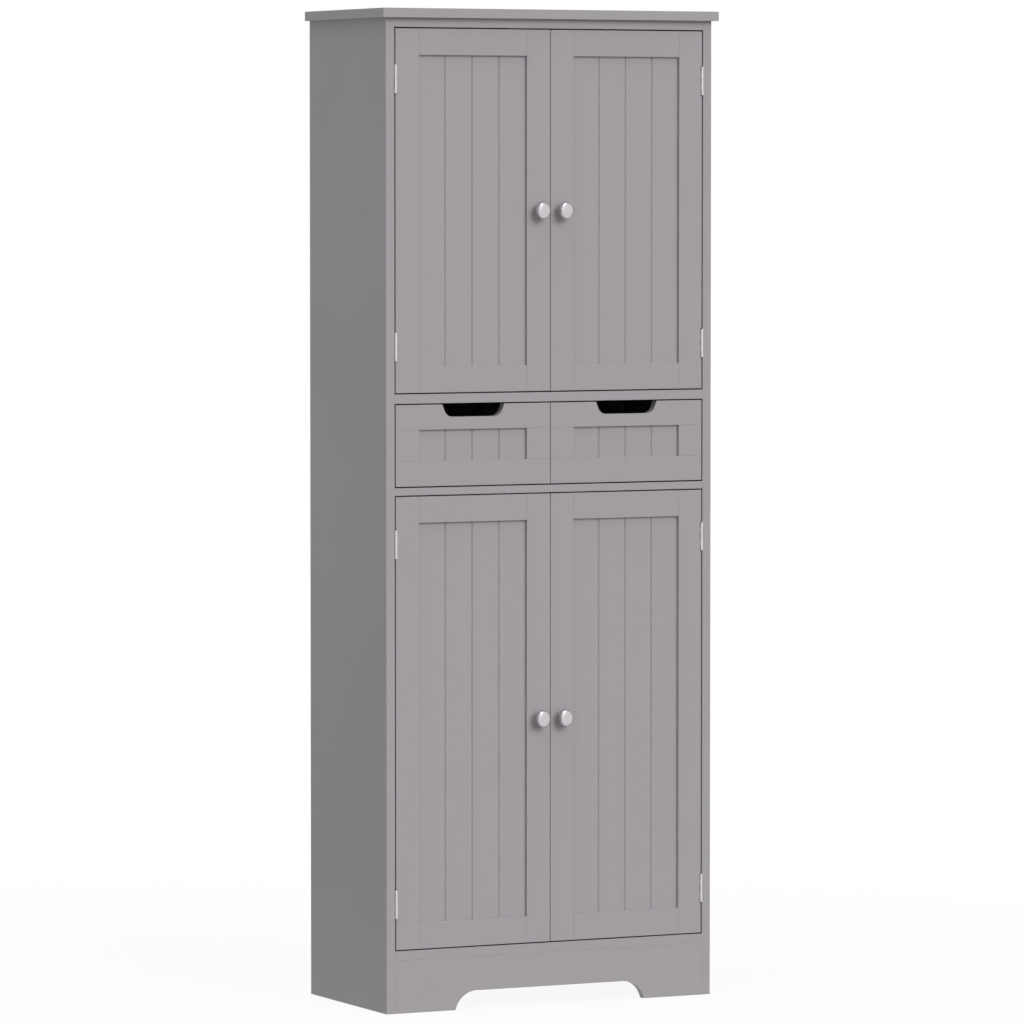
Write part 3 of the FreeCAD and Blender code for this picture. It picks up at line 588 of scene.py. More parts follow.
@dataclass(frozen=True)
class PoledPlastic(MouldedPlastic):
    """Catch housing whose mouth shows the two steel poles of its magnet.

    Attributes:
        steel: Colour of the poles.
        steel_gloss: How much less rough they are than the plastic.
        mouth_y: Only what stands in front of this y is steel.
        pole_rooms: Lowest and highest z of each room that poles stand in.
    """

    steel: Colour = (0.62, 0.62, 0.61)
    steel_gloss: float = 0.1
    mouth_y: float = 0.0
    pole_rooms: tuple[tuple[float, float], ...] = ()

    def skin(self, graph: Graph) -> dict[str, Value]:
        """Plastic, but steel in front of the mouth's depth, between the heights of a pole room.

        Args:
            graph: The material's graph.

        Returns:
            Signals for the shader's sockets, by name.
        """
        inputs = super().skin(graph)
        _, y, z = graph.along()
        room: Value = 0.0
        for low, high in self.pole_rooms:
            room = (z > low) * (z < high) + room
        pole = room * (y < self.mouth_y)
        return {**inputs, "Base Color": graph.blend(pole, inputs["Base Color"], self.steel),
                "Metallic": pole, "Roughness": inputs["Roughness"] - pole * self.steel_gloss}


@dataclass(frozen=True)
class CastZinc(Finish):
    """Die-cast zinc: dull, with a grainy skin and cold-flow clouds."""

    grain_size: float = 0.0005
    grain_tone: float = 0.16
    grain_depth: float = 0.00003
    cloud_size: float = 0.004
    cloud_tone: float = 0.2
    cloud_sheen: float = 0.2

    def skin(self, graph: Graph) -> dict[str, Value]:
        """Grain in tone and normal; clouds in tone and sheen.

        Args:
            graph: The material's graph.

        Returns:
            Signals for the shader's sockets, by name.
        """
        place = graph.place()
        grain = graph.noise(place, self.grain_size, detail=3)
        cloud = graph.noise(place, self.cloud_size, detail=3)
        tone = 1 + grain.swing(self.grain_tone) + cloud.swing(self.cloud_tone)
        return {"Base Color": graph.shade(self.colour, tone),
                "Roughness": self.roughness + cloud.swing(self.cloud_sheen),
                "Normal": graph.bump(grain, self.grain_depth)}


@dataclass(frozen=True)
class BeechWood(Finish):
    """Turned beech with darker flecks along the dowel."""

    dark: Colour = (0.42, 0.235, 0.115)
    dark_sheen: float = 0.15
    fleck_size: float = 0.0005
    fleck_stretch: Point = (12.0, 1.0, 1.0)
    fleck_depth: float = 0.00004
    ring_size: float = 0.003
    ring_stretch: Point = (20.0, 1.0, 1.0)
    weight: float = 0.6
    dark_edges: tuple[float, float] = (0.45, 0.8)

    def skin(self, graph: Graph) -> dict[str, Value]:
        """Flecks are a noise drawn out along x, where most of the dowels lie.

        Args:
            graph: The material's graph.

        Returns:
            Signals for the shader's sockets, by name.
        """
        place = graph.place()
        fleck = graph.noise(place, self.fleck_size, detail=3, stretch=self.fleck_stretch)
        ring = graph.noise(place, self.ring_size, stretch=self.ring_stretch)
        share = (fleck * self.weight + ring * self.weight).rise(*self.dark_edges)
        return {"Base Color": graph.blend(share, self.colour, self.dark),
                "Roughness": self.roughness + self.dark_sheen * share,
                "Normal": graph.bump(fleck, self.fleck_depth)}


# ----------------------------------------------------------------------------------------- surfaces
@dataclass
class Shell:
    """Closed surface of rings from one pole to the other.

    Attributes:
        rings: Points of every ring, as rows by columns by 3.
        start: The pole before the first ring.
        stop: The pole after the last ring.
    """

    rings: np.ndarray
    start: np.ndarray
    stop: np.ndarray

    def points(self) -> np.ndarray:
        """All points: the rings in turn, then the two poles."""
        return np.vstack([self.rings.reshape(-1, 3), self.start, self.stop])

    def triangles(self) -> np.ndarray:
        """Corner numbers of the triangles, turned so that they face outwards.

        Each ring's points pair with the next ring's as quads cut in two, and the poles close the
        ends as fans. The sum of a . (b x c) over the triangles is six times the volume. Where it is
        negative, all of them are reversed.

        Returns:
            Rows of three corner numbers.
        """
        rows, columns, _ = self.rings.shape
        here = np.arange(rows * columns).reshape(rows, columns)
        beside = np.roll(here, -1, axis=1)
        a, b, c, d = here[:-1], beside[:-1], beside[1:], here[1:]
        first, last = np.full(columns, rows * columns), np.full(columns, rows * columns + 1)
        parts = [np.stack(corners, axis=-1).reshape(-1, 3) for corners in (
            (a, b, c), (a, c, d), (first, beside[0], here[0]), (last, here[-1], beside[-1]))]
        faces = np.vstack(parts)
        p, q, r = self.points()[faces].transpose(1, 0, 2)
        volume = np.einsum("ij,ij->", p - self.start, np.cross(q - self.start, r - self.start))
        return faces if volume > 0 else faces[:, ::-1]

    def turning(self) -> np.ndarray:
        """For each point, how far round it is and how far along the profile, both from 0 to 1.

        Returns:
            Rows of two numbers, in the order of the points.
        """
        rows, columns, _ = self.rings.shape
        way, row = np.meshgrid(np.arange(columns) / columns, np.linspace(0, 1, rows))
        return np.vstack([np.stack([way, row], axis=-1).reshape(-1, 2), (0, 0), (0, 1)])


def arc(centre: tuple[float, float], radii: tuple[float, float], start: float, stop: float,
        count: int) -> np.ndarray:
    """Points on an ellipse's arc in the plane of radius and depth.

    Formula: centre + (radii[0] cos a, radii[1] sin a), for angles a evenly from start to stop.

    Args:
        centre: Radius and depth of the centre.
        radii: Half axes along radius and depth.
        start: First angle in degrees.
        stop: Last angle in degrees.
        count: Number of points.

    Returns:
        Rows of radius and depth.
    """
    angle = np.radians(np.linspace(start, stop, count))
    return np.column_stack([centre[0] + radii[0] * np.cos(angle),
                            centre[1] + radii[1] * np.sin(angle)])


def ring_angles(columns: int) -> np.ndarray:
    """Angles of this many points evenly round a ring."""
    return np.linspace(0, FULL_TURN, columns, endpoint=False)


def solid_corners(node: bpy.types.Object) -> list[np.ndarray]:
    """Corner points of each separate solid in a node's mesh.

    Formula: corners at the same place, to a hundredth of a millimetre, are one. Every triangle
    gives the lowest label among its corners to all three until no label changes.

    Args:
        node: A CAD node's object.

    Returns:
        One array of points for each solid, in the order of their first corners.
    """
    mesh = node.data
    places = np.empty(len(mesh.vertices) * 3)
    mesh.vertices.foreach_get("co", places)
    corners = np.empty(len(mesh.loops), dtype=np.int64)
    mesh.loops.foreach_get("vertex_index", corners)
    rounded = np.round(places.reshape(-1, 3), SAME_PLACE_DIGITS)
    grid, same = np.unique(rounded, axis=0, return_inverse=True)
    triangles = same.reshape(-1)[corners].reshape(-1, 3)
    label = np.arange(len(grid))
    while True:
        before = label.copy()
        np.minimum.at(label, triangles, label[triangles].min(axis=1, keepdims=True))
        label = label[label]
        if np.array_equal(before, label):
            return [grid[label == key] for key in np.unique(label)]


def build_piece(name: str, shells: Sequence[Shell], finish: Finish,
                sharp_deg: float = 40.0) -> bpy.types.Object:
    """One object from closed shells, with its place in its mesh.

    Args:
        name: Name of the piece.
        shells: The surfaces that it is made of.
        finish: What it is finished in.
        sharp_deg: Edges that turn by more than this stay crisp.

    Returns:
        The object, linked to the scene.
    """
    points = [shell.points() for shell in shells]
    offsets = np.cumsum([0] + [len(part) for part in points[:-1]])
    faces = np.vstack([shell.triangles() + first for shell, first in zip(shells, offsets)])
    mesh = bpy.data.meshes.new(name)
    mesh.from_pydata(np.vstack(points), [], faces)
    turning = np.vstack([shell.turning() for shell in shells])
    layer = mesh.uv_layers.new(name="turning")
    layer.uv.foreach_set("vector", turning[faces.reshape(-1)].astype(np.float32).reshape(-1))
    mesh.shade_smooth()
    mesh.set_sharp_from_angle(angle=math.radians(sharp_deg))
    mesh.materials.append(finish.material())
    piece = bpy.data.objects.new(name, mesh)
    bpy.context.scene.collection.objects.link(piece)
    LOG.info("piece %s: %d triangles", name, len(faces))
    return piece


# -------------------------------------------------------------------------------------------- knobs
@dataclass(frozen=True)
class OvalKnob:
    """Turned knob: a rounded foot, a waisted neck and an oval domed head.

    The overall height, width and projection come from the box of the node that it stands for.

    Attributes:
        door: The door that it is on.
        foot_radius: Radius of the foot's rim.
        foot_depth: How far the foot stands out from the door.
        foot_flat: Where its flat back starts, as a share of where that ends.
        foot_sweep: First and last angle of its rim's arc, in degrees.
        neck_radius: Radius that the waist tends to.
        neck_end: Depth at which the head starts.
        head_start_radius: Radius there.
        rim_depth: Depth of the head's widest place.
        fullness: Power of the head's curve. 1 is an ellipse, less is squarer.
        rings: Number of rings on the flat, the foot, the neck and the head.
        columns: Number of points round each ring.
        sharp_deg: Edges that turn by more than this stay crisp.
    """

    door: str
    foot_radius: float = 0.0056
    foot_depth: float = 0.0018
    foot_flat: float = 0.3
    foot_sweep: tuple[float, float] = (-75.0, 90.0)
    neck_radius: float = 0.0044
    neck_end: float = 0.0092
    head_start_radius: float = 0.0052
    rim_depth: float = 0.0134
    fullness: float = 0.80
    rings: tuple[int, int, int, int] = (3, 10, 15, 40)
    columns: int = 96
    sharp_deg: float = 60.0

    def profile(self, rim: float, projection: float) -> np.ndarray:
        """Radius and depth of the rings from the foot's back to the crown.

        Foot: a flat back and a half-round rim. Neck: the waist's radius plus shares of the foot's
        and head's radii that fade with the cube of the distance. Head: the rim's radius by cos a to
        the power of fullness, the depth by sin a to the same power, behind and in front of the rim.

        Args:
            rim: Largest radius of the head.
            projection: Depth of the crown from the door's face.

        Returns:
            Rows of radius and depth.
        """
        flat_rings, foot_rings, neck_rings, head_rings = self.rings
        half = self.foot_depth / 2
        foot_in = self.foot_radius - half
        flat = np.column_stack([np.linspace(foot_in * self.foot_flat, foot_in, flat_rings),
                                np.zeros(flat_rings)])
        foot = arc((foot_in, half), (half, half), *self.foot_sweep, foot_rings)
        t = np.linspace(0, 1, neck_rings + 1)[1:]
        waist = (self.neck_radius + (foot_in - self.neck_radius) * (1 - t) ** 3
                 + (self.head_start_radius - self.neck_radius) * t ** 3)
        neck = np.column_stack([waist, self.foot_depth + (self.neck_end - self.foot_depth) * t])
        lowest = -math.acos((self.head_start_radius / rim) ** (1 / self.fullness))
        angle = np.linspace(lowest, math.pi / 2, head_rings + 2)[1:-1]
        reach = np.where(angle < 0, (self.rim_depth - self.neck_end)
                         / abs(math.sin(lowest)) ** self.fullness, projection - self.rim_depth)
        depth = self.rim_depth + reach * np.sign(angle) * np.abs(np.sin(angle)) ** self.fullness
        head = np.column_stack([rim * np.cos(angle) ** self.fullness, depth])
        return np.vstack([flat, foot, neck, head])

    def shell(self, low: Vector, high: Vector) -> Shell:
        """The knob's surface in its node's box.

        Formula: a ring at radius r and depth d has the points (w r cos b, -d, r sin b) from the
        seat's middle. w goes smoothly from 1 at the foot to the box's width over its height at the
        rim.

        Args:
            low: Lowest corner of the box.
            high: Highest corner of the box.

        Returns:
            The closed surface.
        """
        rim = (high.z - low.z) / 2
        rows = self.profile(rim, high.y - low.y)
        share = np.clip((rows[:, 1] - self.foot_depth) / (self.rim_depth - self.foot_depth), 0, 1)
        squeeze = 1 - (1 - (high.x - low.x) / (2 * rim)) * share ** 2 * (3 - 2 * share)
        turn = ring_angles(self.columns)
        seat = np.array([(low.x + high.x) / 2, high.y, (low.z + high.z) / 2])
        rings = np.stack([np.outer(rows[:, 0] * squeeze, np.cos(turn)),
                          -np.repeat(rows[:, 1:], self.columns, axis=1),
                          np.outer(rows[:, 0], np.sin(turn))], axis=-1)
        crown = seat - np.array([0, high.y - low.y, 0])
        return Shell(seat + rings, seat, crown)

    def build(self, finish: Finish) -> bpy.types.Object:
        """Make the knob, which rides on its door and stands for the door's plain one.

        Args:
            finish: What it is finished in.

        Returns:
            The knob.
        """
        node = f"{self.door}_knob"
        piece = build_piece(f"{self.door}_oval_knob", [self.shell(*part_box(node))], finish,
                            self.sharp_deg)
        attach(piece, f"{self.door}_door")
        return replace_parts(piece, node)


# ------------------------------------------------------------------------------------------- screws
@dataclass(frozen=True)
class Screw:
    """Cross-recessed screw along its own z, the top of its head at 0 and its tip at -length.

    Attributes:
        length: From the head's top to the tip.
        head_radius: Radius of the head.
        shank_radius: Radius over the threads.
        form: Kind of head.
        flat_rim: How far below its top a countersunk head's straight rim starts and ends.
        pan_rim: The same for a pan head.
        pan_crown: How far a pan head's top falls away towards its rim.
        head_span: Radii of the first and last ring on the head's top, as shares of the head's.
        head_rings: Number of those rings.
        under_head: Radius of the shank under the head, as a share of the threads'.
        recess_depth: Depth of the cross recess.
        recess_fade: Share of its depth at the middle, counted as 1 at most, and the least share.
        arm_sides: Half width of an arm and width of its flank, as shares of the head's radius.
        arm_ends: Reach of an arm and length of its end slope, as shares of the head's radius.
        pitch: Height of one turn of the thread.
        thread_depth: Depth of the thread, as a share of the shank's radius.
        thread_rings: Number of rings on each turn of it.
        end_gap: Height that the thread leaves free at either end.
        tip_taper: Length of the pointed tip, in shank radii.
        tip_least: Radius of its last ring, as a share of the shank's.
        columns: Number of points round each ring.
    """

    length: float
    head_radius: float
    shank_radius: float
    form: HeadForm
    flat_rim: tuple[float, float] = (0.00005, 0.00018)
    pan_rim: tuple[float, float] = (0.0011, 0.0020)
    pan_crown: float = 0.0008
    head_span: tuple[float, float] = (0.08, 0.94)
    head_rings: int = 14
    under_head: float = 1.04
    recess_depth: float = 0.0011
    recess_fade: tuple[float, float] = (1.15, 0.4)
    arm_sides: tuple[float, float] = (0.15, 0.07)
    arm_ends: tuple[float, float] = (0.62, 0.14)
    pitch: float = 0.0012
    thread_depth: float = 0.28
    thread_rings: int = 4
    end_gap: float = 0.0002
    tip_taper: float = 1.05
    tip_least: float = 0.12
    columns: int = 32

    def head_rows(self) -> tuple[np.ndarray, np.ndarray]:
        """Radius and height of the rings over the head, from its middle to the shank.

        A countersunk head is flat with a cone below. A pan head's top falls with the square of the
        radius to a straight rim, and its underside is flat.

        Returns:
            The radii and the heights.
        """
        inner = np.linspace(*self.head_span, self.head_rings)
        radii = np.append(inner * self.head_radius, (self.head_radius, self.head_radius,
                                                     self.shank_radius * self.under_head))
        if self.form is HeadForm.COUNTERSUNK:
            cone = self.head_radius - self.shank_radius
            return radii, -np.append(np.zeros(self.head_rings), (*self.flat_rim, cone))
        return radii, -np.append(self.pan_crown * inner ** 2, (*self.pan_rim, self.pan_rim[1]))

    def recess(self, x: np.ndarray, y: np.ndarray) -> np.ndarray:
        """Depth of the cross recess at points of the head.

        Formula: an arm is full depth up to its flank and fades to nothing over it, and likewise
        towards its end. The deeper of the two crossed arms counts, and it is deepest in the middle.

        Args:
            x: First place of each point, as a share of the head's radius.
            y: Second place, likewise.

        Returns:
            How far each point is sunk.
        """
        half_width, flank = self.arm_sides
        reach, slope = self.arm_ends
        middle, least = self.recess_fade
        arms = [np.clip((half_width - across) / flank, 0, 1) * np.clip((reach - out) / slope, 0, 1)
                for across, out in ((abs(x), abs(y)), (abs(y), abs(x)))]
        return self.recess_depth * np.maximum(*arms) * np.clip(middle - np.hypot(x, y), least, 1)

    def shell(self) -> Shell:
        """The screw's surface.

        Formula: rings of the head, sunk by the recess, then rings down the shank whose radius rises
        and falls between root and crest as a triangle wave of height over pitch plus turn.

        Returns:
            The closed surface.
        """
        turn = ring_angles(self.columns)
        radii, heights = self.head_rows()
        head = np.outer(radii, np.ones(self.columns))
        unit = head / self.head_radius
        sunk = self.recess(unit * np.cos(turn), unit * np.sin(turn))
        down = np.linspace(heights[-1] - self.end_gap, self.end_gap - self.length,
                           int(self.length / self.pitch * self.thread_rings))
        wave = (down[:, None] / self.pitch + turn / FULL_TURN) % 1
        crest = 1 - self.thread_depth * abs(2 * wave - 1)
        taper = self.tip_taper * self.shank_radius
        point = np.clip((down + self.length) / taper, self.tip_least, 1)[:, None]
        radius = np.vstack([head, self.shank_radius * crest * point])
        height = np.vstack([heights[:, None] - sunk,
                            np.repeat(down[:, None], self.columns, axis=1)])
        rings = np.stack([radius * np.cos(turn), radius * np.sin(turn), height], axis=-1)
        return Shell(rings, np.array([0, 0, -self.recess_depth]), np.array([0, 0, -self.length]))


@dataclass(frozen=True)
class ScrewSet:
    """All the screws of one CAD node, each put where that node's plain screw is.

    Attributes:
        node: The CAD node.
        body: The body that they ride on.
        end_band: Corners this near to either end of a plain screw give that end's radius.
        pan_radius: Heads wider than this radius are pan heads.
    """

    node: str
    body: str
    end_band: float = 0.0004
    pan_radius: float = 0.0035

    def placed(self, corners: np.ndarray) -> Shell:
        """A screw in the place of one plain solid.

        The solid's longest side gives the axis, and its wider end is the head. That end gives the
        head's radius, and the half of the axis away from it gives the shank's.

        Args:
            corners: Corner points of the plain screw.

        Returns:
            The detailed screw's surface.
        """
        low, high = corners.min(axis=0), corners.max(axis=0)
        axis = int(np.argmax(high - low))
        others = [way for way in Axis if way != axis]
        middle = (low + high) / 2
        out = np.hypot(*(corners[:, others] - middle[others]).T)
        at_top = out[corners[:, axis] > high[axis] - self.end_band].max()
        at_bottom = out[corners[:, axis] < low[axis] + self.end_band].max()
        head_radius = max(at_top, at_bottom)
        form = HeadForm.PAN if head_radius > self.pan_radius else HeadForm.COUNTERSUNK
        sign = 1 if at_top > at_bottom else -1
        far = sign * (corners[:, axis] - middle[axis]) < 0
        plain = Screw(high[axis] - low[axis], head_radius, out[far].max(), form).shell()
        middle[axis] = high[axis] if sign > 0 else low[axis]
        frame = np.zeros((3, 3))
        frame[0, others[0]] = frame[1, others[1]] = 1
        frame[2, axis] = sign
        return Shell(plain.rings @ frame + middle, plain.start @ frame + middle,
                     plain.stop @ frame + middle)

    def build(self, finish: Finish) -> bpy.types.Object:
        """Make the set, which rides on its body and stands for the plain node.

        Args:
            finish: What they are finished in.

        Returns:
            The set.
        """
        solids = solid_corners(bpy.data.objects[self.node])
        shells = [self.placed(corners) for corners in solids]
        piece = build_piece(f"{self.node}_cross_recessed", shells, finish)
        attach(piece, self.body)
        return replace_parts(piece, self.node)


# ----------------------------------------------------------------------------------- sub-assemblies
@dataclass(frozen=True)
class Finishes:
    """Every finish in the cabinet."""

    paint: Finish = SatinPaint("satin_paint", (0.360, 0.340, 0.360), 0.46)
    front_paint: Finish = SatinPaint("satin_paint_front", (0.360, 0.340, 0.360), 0.44,
                                     drift_tone=0.02, peel_size=0.0013)
    knob: Finish = BrushedNickel("turned_nickel", (0.600, 0.580, 0.600), 0.31, 1.0)
    hinge: Finish = PlatedSteel("plated_hinge", (0.70, 0.685, 0.70), 0.30, 1.0)
    strike: Finish = PlatedSteel("plated_strike", (0.72, 0.72, 0.71), 0.3, 1.0, grain_axis=Axis.X)
    screw: Finish = PlatedSteel("plated_screw", (0.70, 0.70, 0.69), 0.28, 1.0, grain_axis=Axis.Y,
                                grain_size=0.0002, grain_depth=0.000003)
    pin: Finish = PlatedSteel("plated_pin", (0.68, 0.68, 0.67), 0.3, 1.0, grain_axis=Axis.X)
    back: Finish = Hardboard("hardboard_back", (0.60, 0.60, 0.59), 0.48)
    drawer_bottom: Finish = Hardboard("hardboard_bottom", (0.60, 0.60, 0.59), 0.48,
                                      raw_side=(0, 0, -1), across=(Axis.X, Axis.Y))
    drawer_board: Finish = Melamine("foil_faced_board", (0.56, 0.55, 0.54), 0.5)
    runner: Finish = PowderCoat("powder_coat", (0.74, 0.74, 0.72), 0.36)
    nylon: Finish = MouldedPlastic("white_nylon", (0.70, 0.69, 0.65), 0.42)
    zinc: Finish = CastZinc("grainy_zinc", (0.42, 0.42, 0.43), 0.5, 0.85)
    beech: Finish = BeechWood("turned_beech", (0.60, 0.41, 0.25), 0.6)


def dress(nodes: Mapping[str, bpy.types.Object], names: Sequence[str], finish: Finish) -> None:
    """Give a finish to the material slots of CAD nodes.

    Args:
        nodes: The frame's nodes by name.
        names: The nodes to dress.
        finish: What they are finished in.
    """
    for name in names:
        for place in nodes[name].material_slots:
            place.material = finish.material()
        LOG.info("node %s: %s", name, finish.name)


@dataclass(frozen=True)
class Carcass:
    """Boards, shelves and fittings that stand still.

    Attributes:
        painted: The boards in the cabinet's own colour.
        room_top: How far under its board the room of a catch's poles starts.
        room_bottom: How far under its board that room ends.
        pole_reach: How far back from their front ends the poles show as steel.
    """

    painted: tuple[str, ...] = (
        "side_panel_left", "side_panel_right", "top_panel", "top_rail", "upper_fixed_shelf",
        "lower_fixed_shelf", "bottom_panel", "plinth_board", "drawer_divider",
        "adjustable_shelf_upper", "adjustable_shelf_lower")
    room_top: float = 0.0035
    room_bottom: float = 0.0125
    pole_reach: float = 0.0009

    def catch_finish(self) -> PoledPlastic:
        """White plastic with steel poles where the catches' mouths are, under their boards.

        Returns:
            The finish.
        """
        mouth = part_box("magnetic_catches")[0].y + self.pole_reach
        boards = [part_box(name)[0].z for name in ("top_rail", "lower_fixed_shelf")]
        rooms = tuple((z - self.room_bottom, z - self.room_top) for z in boards)
        return PoledPlastic("poled_plastic", (0.68, 0.68, 0.66), 0.45, mouth_y=mouth,
                            pole_rooms=rooms)

    def build(self, nodes: Mapping[str, bpy.types.Object], finishes: Finishes) -> None:
        """Dress the boards and fittings and make the screws.

        Args:
            nodes: The frame's nodes by name.
            finishes: The cabinet's finishes.
        """
        dress(nodes, self.painted, finishes.paint)
        dress(nodes, ["back_panel"], finishes.back)
        dress(nodes, ["shelf_pins"], finishes.pin)
        dress(nodes, ["cam_fittings"], finishes.zinc)
        dress(nodes, ["wooden_dowels"], finishes.beech)
        dress(nodes, ["hinge_frame_leaves", "hinge_pins"], finishes.hinge)
        dress(nodes, ["cabinet_runners"], finishes.runner)
        dress(nodes, ["magnetic_catches"], self.catch_finish())
        ScrewSet("carcass_screws", "carcass").build(finishes.screw)


@dataclass(frozen=True)
class Door:
    """One framed door with its knob, its half of the hinges and its strike plate.

    Attributes:
        name: Where it is, as its nodes' names begin.
    """

    name: str

    def build(self, nodes: Mapping[str, bpy.types.Object], finishes: Finishes) -> None:
        """Dress the door, and make its knob and screws.

        Args:
            nodes: The frame's nodes by name.
            finishes: The cabinet's finishes.
        """
        dress(nodes, [f"{self.name}_door_frame", f"{self.name}_door_panel"], finishes.front_paint)
        dress(nodes, [f"{self.name}_hinge_leaves"], finishes.hinge)
        dress(nodes, [f"{self.name}_strike_plate"], finishes.strike)
        OvalKnob(self.name).build(finishes.knob)
        ScrewSet(f"{self.name}_door_screws", f"{self.name}_door").build(finishes.screw)


@dataclass(frozen=True)
class Drawer:
    """One drawer with its framed front and its half of the roller runners.

    Attributes:
        name: Where it is, as its nodes' names begin.
    """

    name: str

    def build(self, nodes: Mapping[str, bpy.types.Object], finishes: Finishes) -> None:
        """Dress the drawer's pieces.

        Args:
            nodes: The frame's nodes by name.
            finishes: The cabinet's finishes.
        """
        sides = [f"{self.name}_drawer_{part}" for part in ("side_left", "side_right", "back")]
        rollers = [f"{self.name}_drawer_{part}_rollers" for part in ("front", "rear")]
        dress(nodes, [f"{self.name}_drawer_front"], finishes.front_paint)
        dress(nodes, sides, finishes.drawer_board)
        dress(nodes, [f"{self.name}_drawer_bottom"], finishes.drawer_bottom)
        dress(nodes, [f"{self.name}_drawer_runners"], finishes.runner)
        dress(nodes, rollers, finishes.nylon)


# ------------------------------------------------------------------------------------------- studio
@dataclass(frozen=True)
class Viewpoint:
    """The photograph's camera.

    Attributes:
        place: Where it stands.
        turn_deg: How far it looks to the right of straight at the front.
        tilt_deg: How far it looks down.
        focal_px: Its focal length in pixels.
        frame_px: Width of the picture in pixels.
        film_width: Width of its film, in millimetres.
        farthest: Distance up to which it sees.
    """

    place: Point = (-4.64711675, -9.40029930, 1.33899914)
    turn_deg: float = 26.29054805
    tilt_deg: float = 3.00317155
    focal_px: float = 6460.279
    frame_px: int = 1024
    film_width: float = 36.0
    farthest: float = 100.0

    def build(self) -> bpy.types.Object:
        """Make the camera and give it to the scene.

        Returns:
            The camera.
        """
        data = bpy.data.cameras.new("camera")
        data.sensor_width = self.film_width
        data.lens = self.focal_px * self.film_width / self.frame_px
        data.clip_end = self.farthest
        camera = bpy.data.objects.new("camera", data)
        camera.location = self.place
        camera.rotation_euler = (math.radians(90 - self.tilt_deg), 0, math.radians(-self.turn_deg))
        bpy.context.scene.collection.objects.link(camera)
        bpy.context.scene.camera = camera
        return camera


@dataclass(frozen=True)
class Lamp:
    """Sun lamp, placed by the angles that it shines from.

    Attributes:
        name: Name of the lamp.
        strength: Its irradiance on a face square to it.
        right_deg: How far to the right of the front's middle it stands.
        up_deg: How far above the level it stands.
        softness_deg: How wide it looks from the cabinet.
        mirrored: Whether it shows in glossy surfaces.
    """

    name: str
    strength: float
    right_deg: float
    up_deg: float
    softness_deg: float
    mirrored: bool = True

    def build(self) -> bpy.types.Object:
        """Make the lamp.

        Returns:
            The lamp.
        """
        data = bpy.data.lights.new(self.name, "SUN")
        data.energy = self.strength
        data.angle = math.radians(self.softness_deg)
        lamp = bpy.data.objects.new(self.name, data)
        lamp.rotation_euler = (math.radians(90 - self.up_deg), 0, math.radians(self.right_deg))
        lamp.visible_glossy = self.mirrored
        bpy.context.scene.collection.objects.link(lamp)
        return lamp


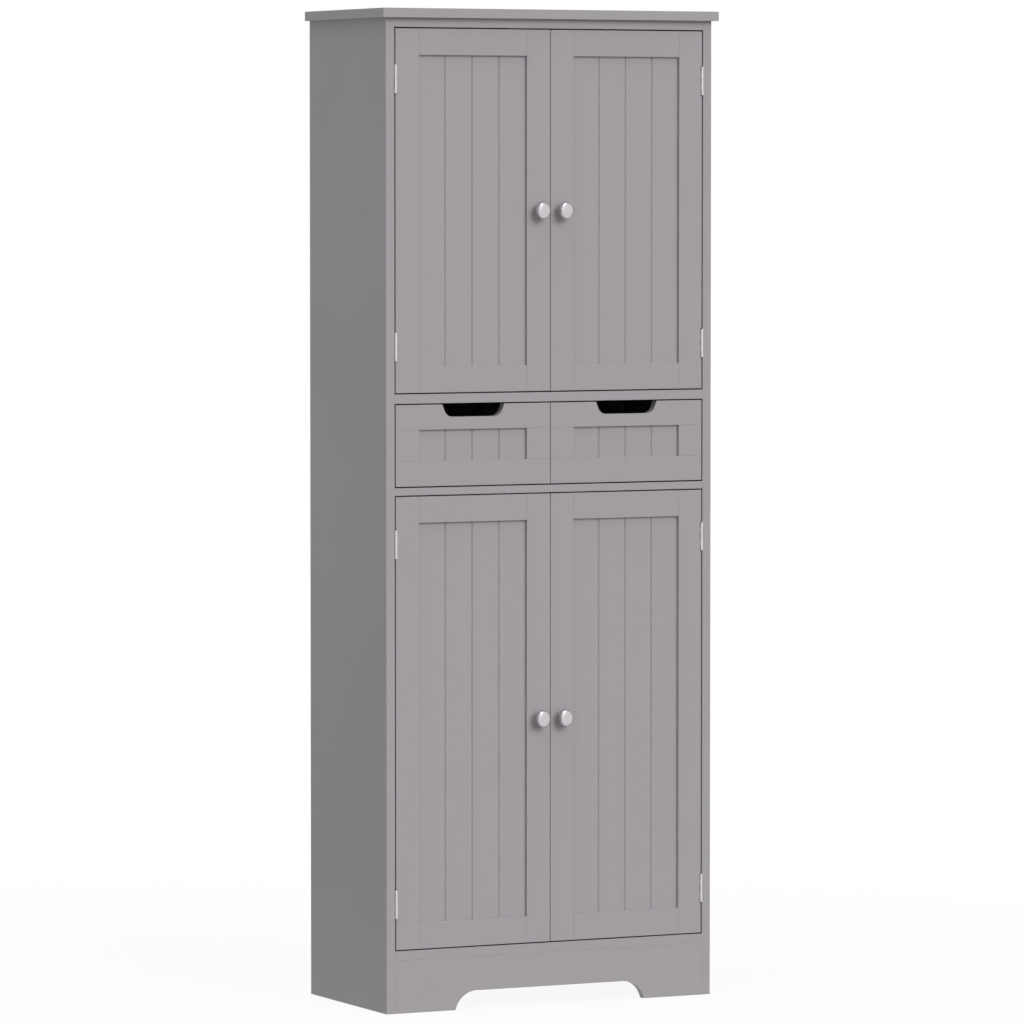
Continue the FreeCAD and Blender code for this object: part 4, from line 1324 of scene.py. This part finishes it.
@dataclass(frozen=True)
class Studio:
    """White surroundings that are brighter overhead, four soft lamps and a pale floor.

    Attributes:
        horizon: Strength of the surroundings' light at the horizon.
        zenith: Its strength straight overhead.
        key: Main lamp, to the right of the front.
        fill: Weaker lamp, to the left of the front.
        overhead: High lamp on the left, whose shadows show under the top panel.
        back: Lamp for the back.
        floor_radius: Radius of the floor.
        floor_hub: Square root of its first ring's share of that.
        floor_level: Height of the floor, just under the feet.
        floor_grid: Number of its rings, and of points round each.
        floor_colour: Its colour near the cabinet.
        floor_glow: Share of the floor that is plain white where it keeps the shadow.
        floor_bounce: Strength of the light that the floor gives the cabinet.
        speck_size: Size of the floor's specks.
        speck_tone: How much they change its tone.
        fade: Distances at which the floor starts to turn white and is white.
    """

    horizon: float = 0.0
    zenith: float = 0.46
    key: Lamp = Lamp("key", 1.96, 16.0, 26.0, 38.0, mirrored=False)
    fill: Lamp = Lamp("fill", 0.24, -45.0, 35.0, 60.0)
    overhead: Lamp = Lamp("overhead", 0.93, -60.0, 72.0, 34.0)
    back: Lamp = Lamp("back", 0.90, 160.0, 35.0, 36.0, mirrored=False)
    floor_radius: float = 4.0
    floor_hub: float = 0.05
    floor_level: float = -0.0002
    floor_grid: tuple[int, int] = (24, 96)
    floor_colour: Colour = (0.80, 0.80, 0.80)
    floor_glow: float = 0.92
    floor_bounce: float = 0.38
    speck_size: float = 0.004
    speck_tone: float = 0.02
    fade: tuple[float, float] = (0.5, 2.6)

    @staticmethod
    def seen(graph: Graph) -> Signal:
        """1 for rays that show the surroundings: camera, glossy and transmission rays."""
        path = graph.node("ShaderNodeLightPath", output="Is Camera Ray")
        return path.most(path["Is Glossy Ray"]).most(path["Is Transmission Ray"])

    def build_world(self) -> None:
        """Make the surroundings.

        They are white where they are seen. Where they light the cabinet, they grow from the horizon
        to the zenith, and below the horizon they are as bright as the floor.
        """
        world = bpy.data.worlds.new("surroundings")
        world.use_nodes = True
        bpy.context.scene.world = world
        graph = Graph(world.node_tree)
        way = graph.node("ShaderNodeTexCoord", output="Generated")
        height = graph.node("ShaderNodeSeparateXYZ", inputs={0: way})["Z"]
        sky = self.horizon + (self.zenith - self.horizon) * height
        below = height < 0
        seen = self.seen(graph)
        level = seen + (1 - seen) * (below * self.floor_bounce + (1 - below) * sky)
        light = graph.node("ShaderNodeBackground", inputs={"Color": WHITE, "Strength": level})
        graph.end("ShaderNodeOutputWorld", {"Surface": light})

    def floor_material(self) -> bpy.types.Material:
        """Pale diffuse floor that keeps the shadow near the cabinet and turns white further out.

        The light that it throws back on the cabinet is even, as from a large pale room.

        Returns:
            The material.
        """
        made = bpy.data.materials.new("pale_floor")
        made.use_nodes = True
        graph = Graph(made.node_tree)
        place = graph.place()
        reach = graph.node("ShaderNodeVectorMath", {"operation": "LENGTH"}, {0: place}, "Value")
        far = reach.rise(*self.fade)
        speck = graph.noise(place, self.speck_size)
        tone = graph.shade(self.floor_colour, 1 + speck.swing(self.speck_tone))
        matt = graph.node("ShaderNodeBsdfDiffuse", inputs={"Color": tone})
        seen = self.seen(graph)
        level = self.floor_bounce + (1 - self.floor_bounce) * seen
        glow = graph.node("ShaderNodeEmission", inputs={"Color": WHITE, "Strength": level})
        share = 1 - seen * (1 - self.floor_glow) * (1 - far)
        mixed = graph.node("ShaderNodeMixShader", inputs={0: share, 1: matt, 2: glow})
        graph.end("ShaderNodeOutputMaterial", {"Surface": mixed})
        return made

    def build_floor(self) -> bpy.types.Object:
        """Round floor of rings whose radii grow as the square of their number.

        Returns:
            The floor.
        """
        rows, columns = self.floor_grid
        turn = ring_angles(columns)
        radii = self.floor_radius * np.linspace(self.floor_hub, 1, rows) ** 2
        rings = np.stack([np.outer(radii, np.cos(turn)), np.outer(radii, np.sin(turn)),
                          np.full(self.floor_grid, self.floor_level)], axis=-1)
        here = np.arange(rows * columns).reshape(rows, columns)
        beside = np.roll(here, -1, axis=1)
        quads = np.stack([here[:-1], here[1:], beside[1:], beside[:-1]], axis=-1).reshape(-1, 4)
        mesh = bpy.data.meshes.new("floor")
        mesh.from_pydata(rings.reshape(-1, 3), [], quads.tolist() + [here[0].tolist()])
        mesh.materials.append(self.floor_material())
        floor = bpy.data.objects.new("floor", mesh)
        bpy.context.scene.collection.objects.link(floor)
        return floor

    def build(self) -> None:
        """Make the surroundings, the lamps and the floor, with plain view settings."""
        bpy.context.scene.view_settings.view_transform = "Standard"
        self.build_world()
        for lamp in (self.key, self.fill, self.overhead, self.back):
            lamp.build()
        self.build_floor()


@dataclass(frozen=True)
class Cabinet:
    """The whole cabinet: carcass, four doors and two drawers."""

    finishes: Finishes = field(default_factory=Finishes)
    carcass: Carcass = Carcass()
    doors: tuple[Door, ...] = (Door("upper_left"), Door("upper_right"), Door("lower_left"),
                               Door("lower_right"))
    drawers: tuple[Drawer, ...] = (Drawer("left"), Drawer("right"))

    def build(self, nodes: Mapping[str, bpy.types.Object]) -> None:
        """Dress and complete every sub-assembly in turn."""
        for part in (self.carcass, *self.doors, *self.drawers):
            part.build(nodes, self.finishes)


def main() -> None:
    """Load the frame, make every piece on it and set up the studio."""
    logging.basicConfig(level=logging.INFO, format="%(message)s")
    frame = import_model()
    Cabinet().build(frame["nodes"])
    Studio().build()
    Viewpoint().build()


if __name__ == "__main__":
    main()
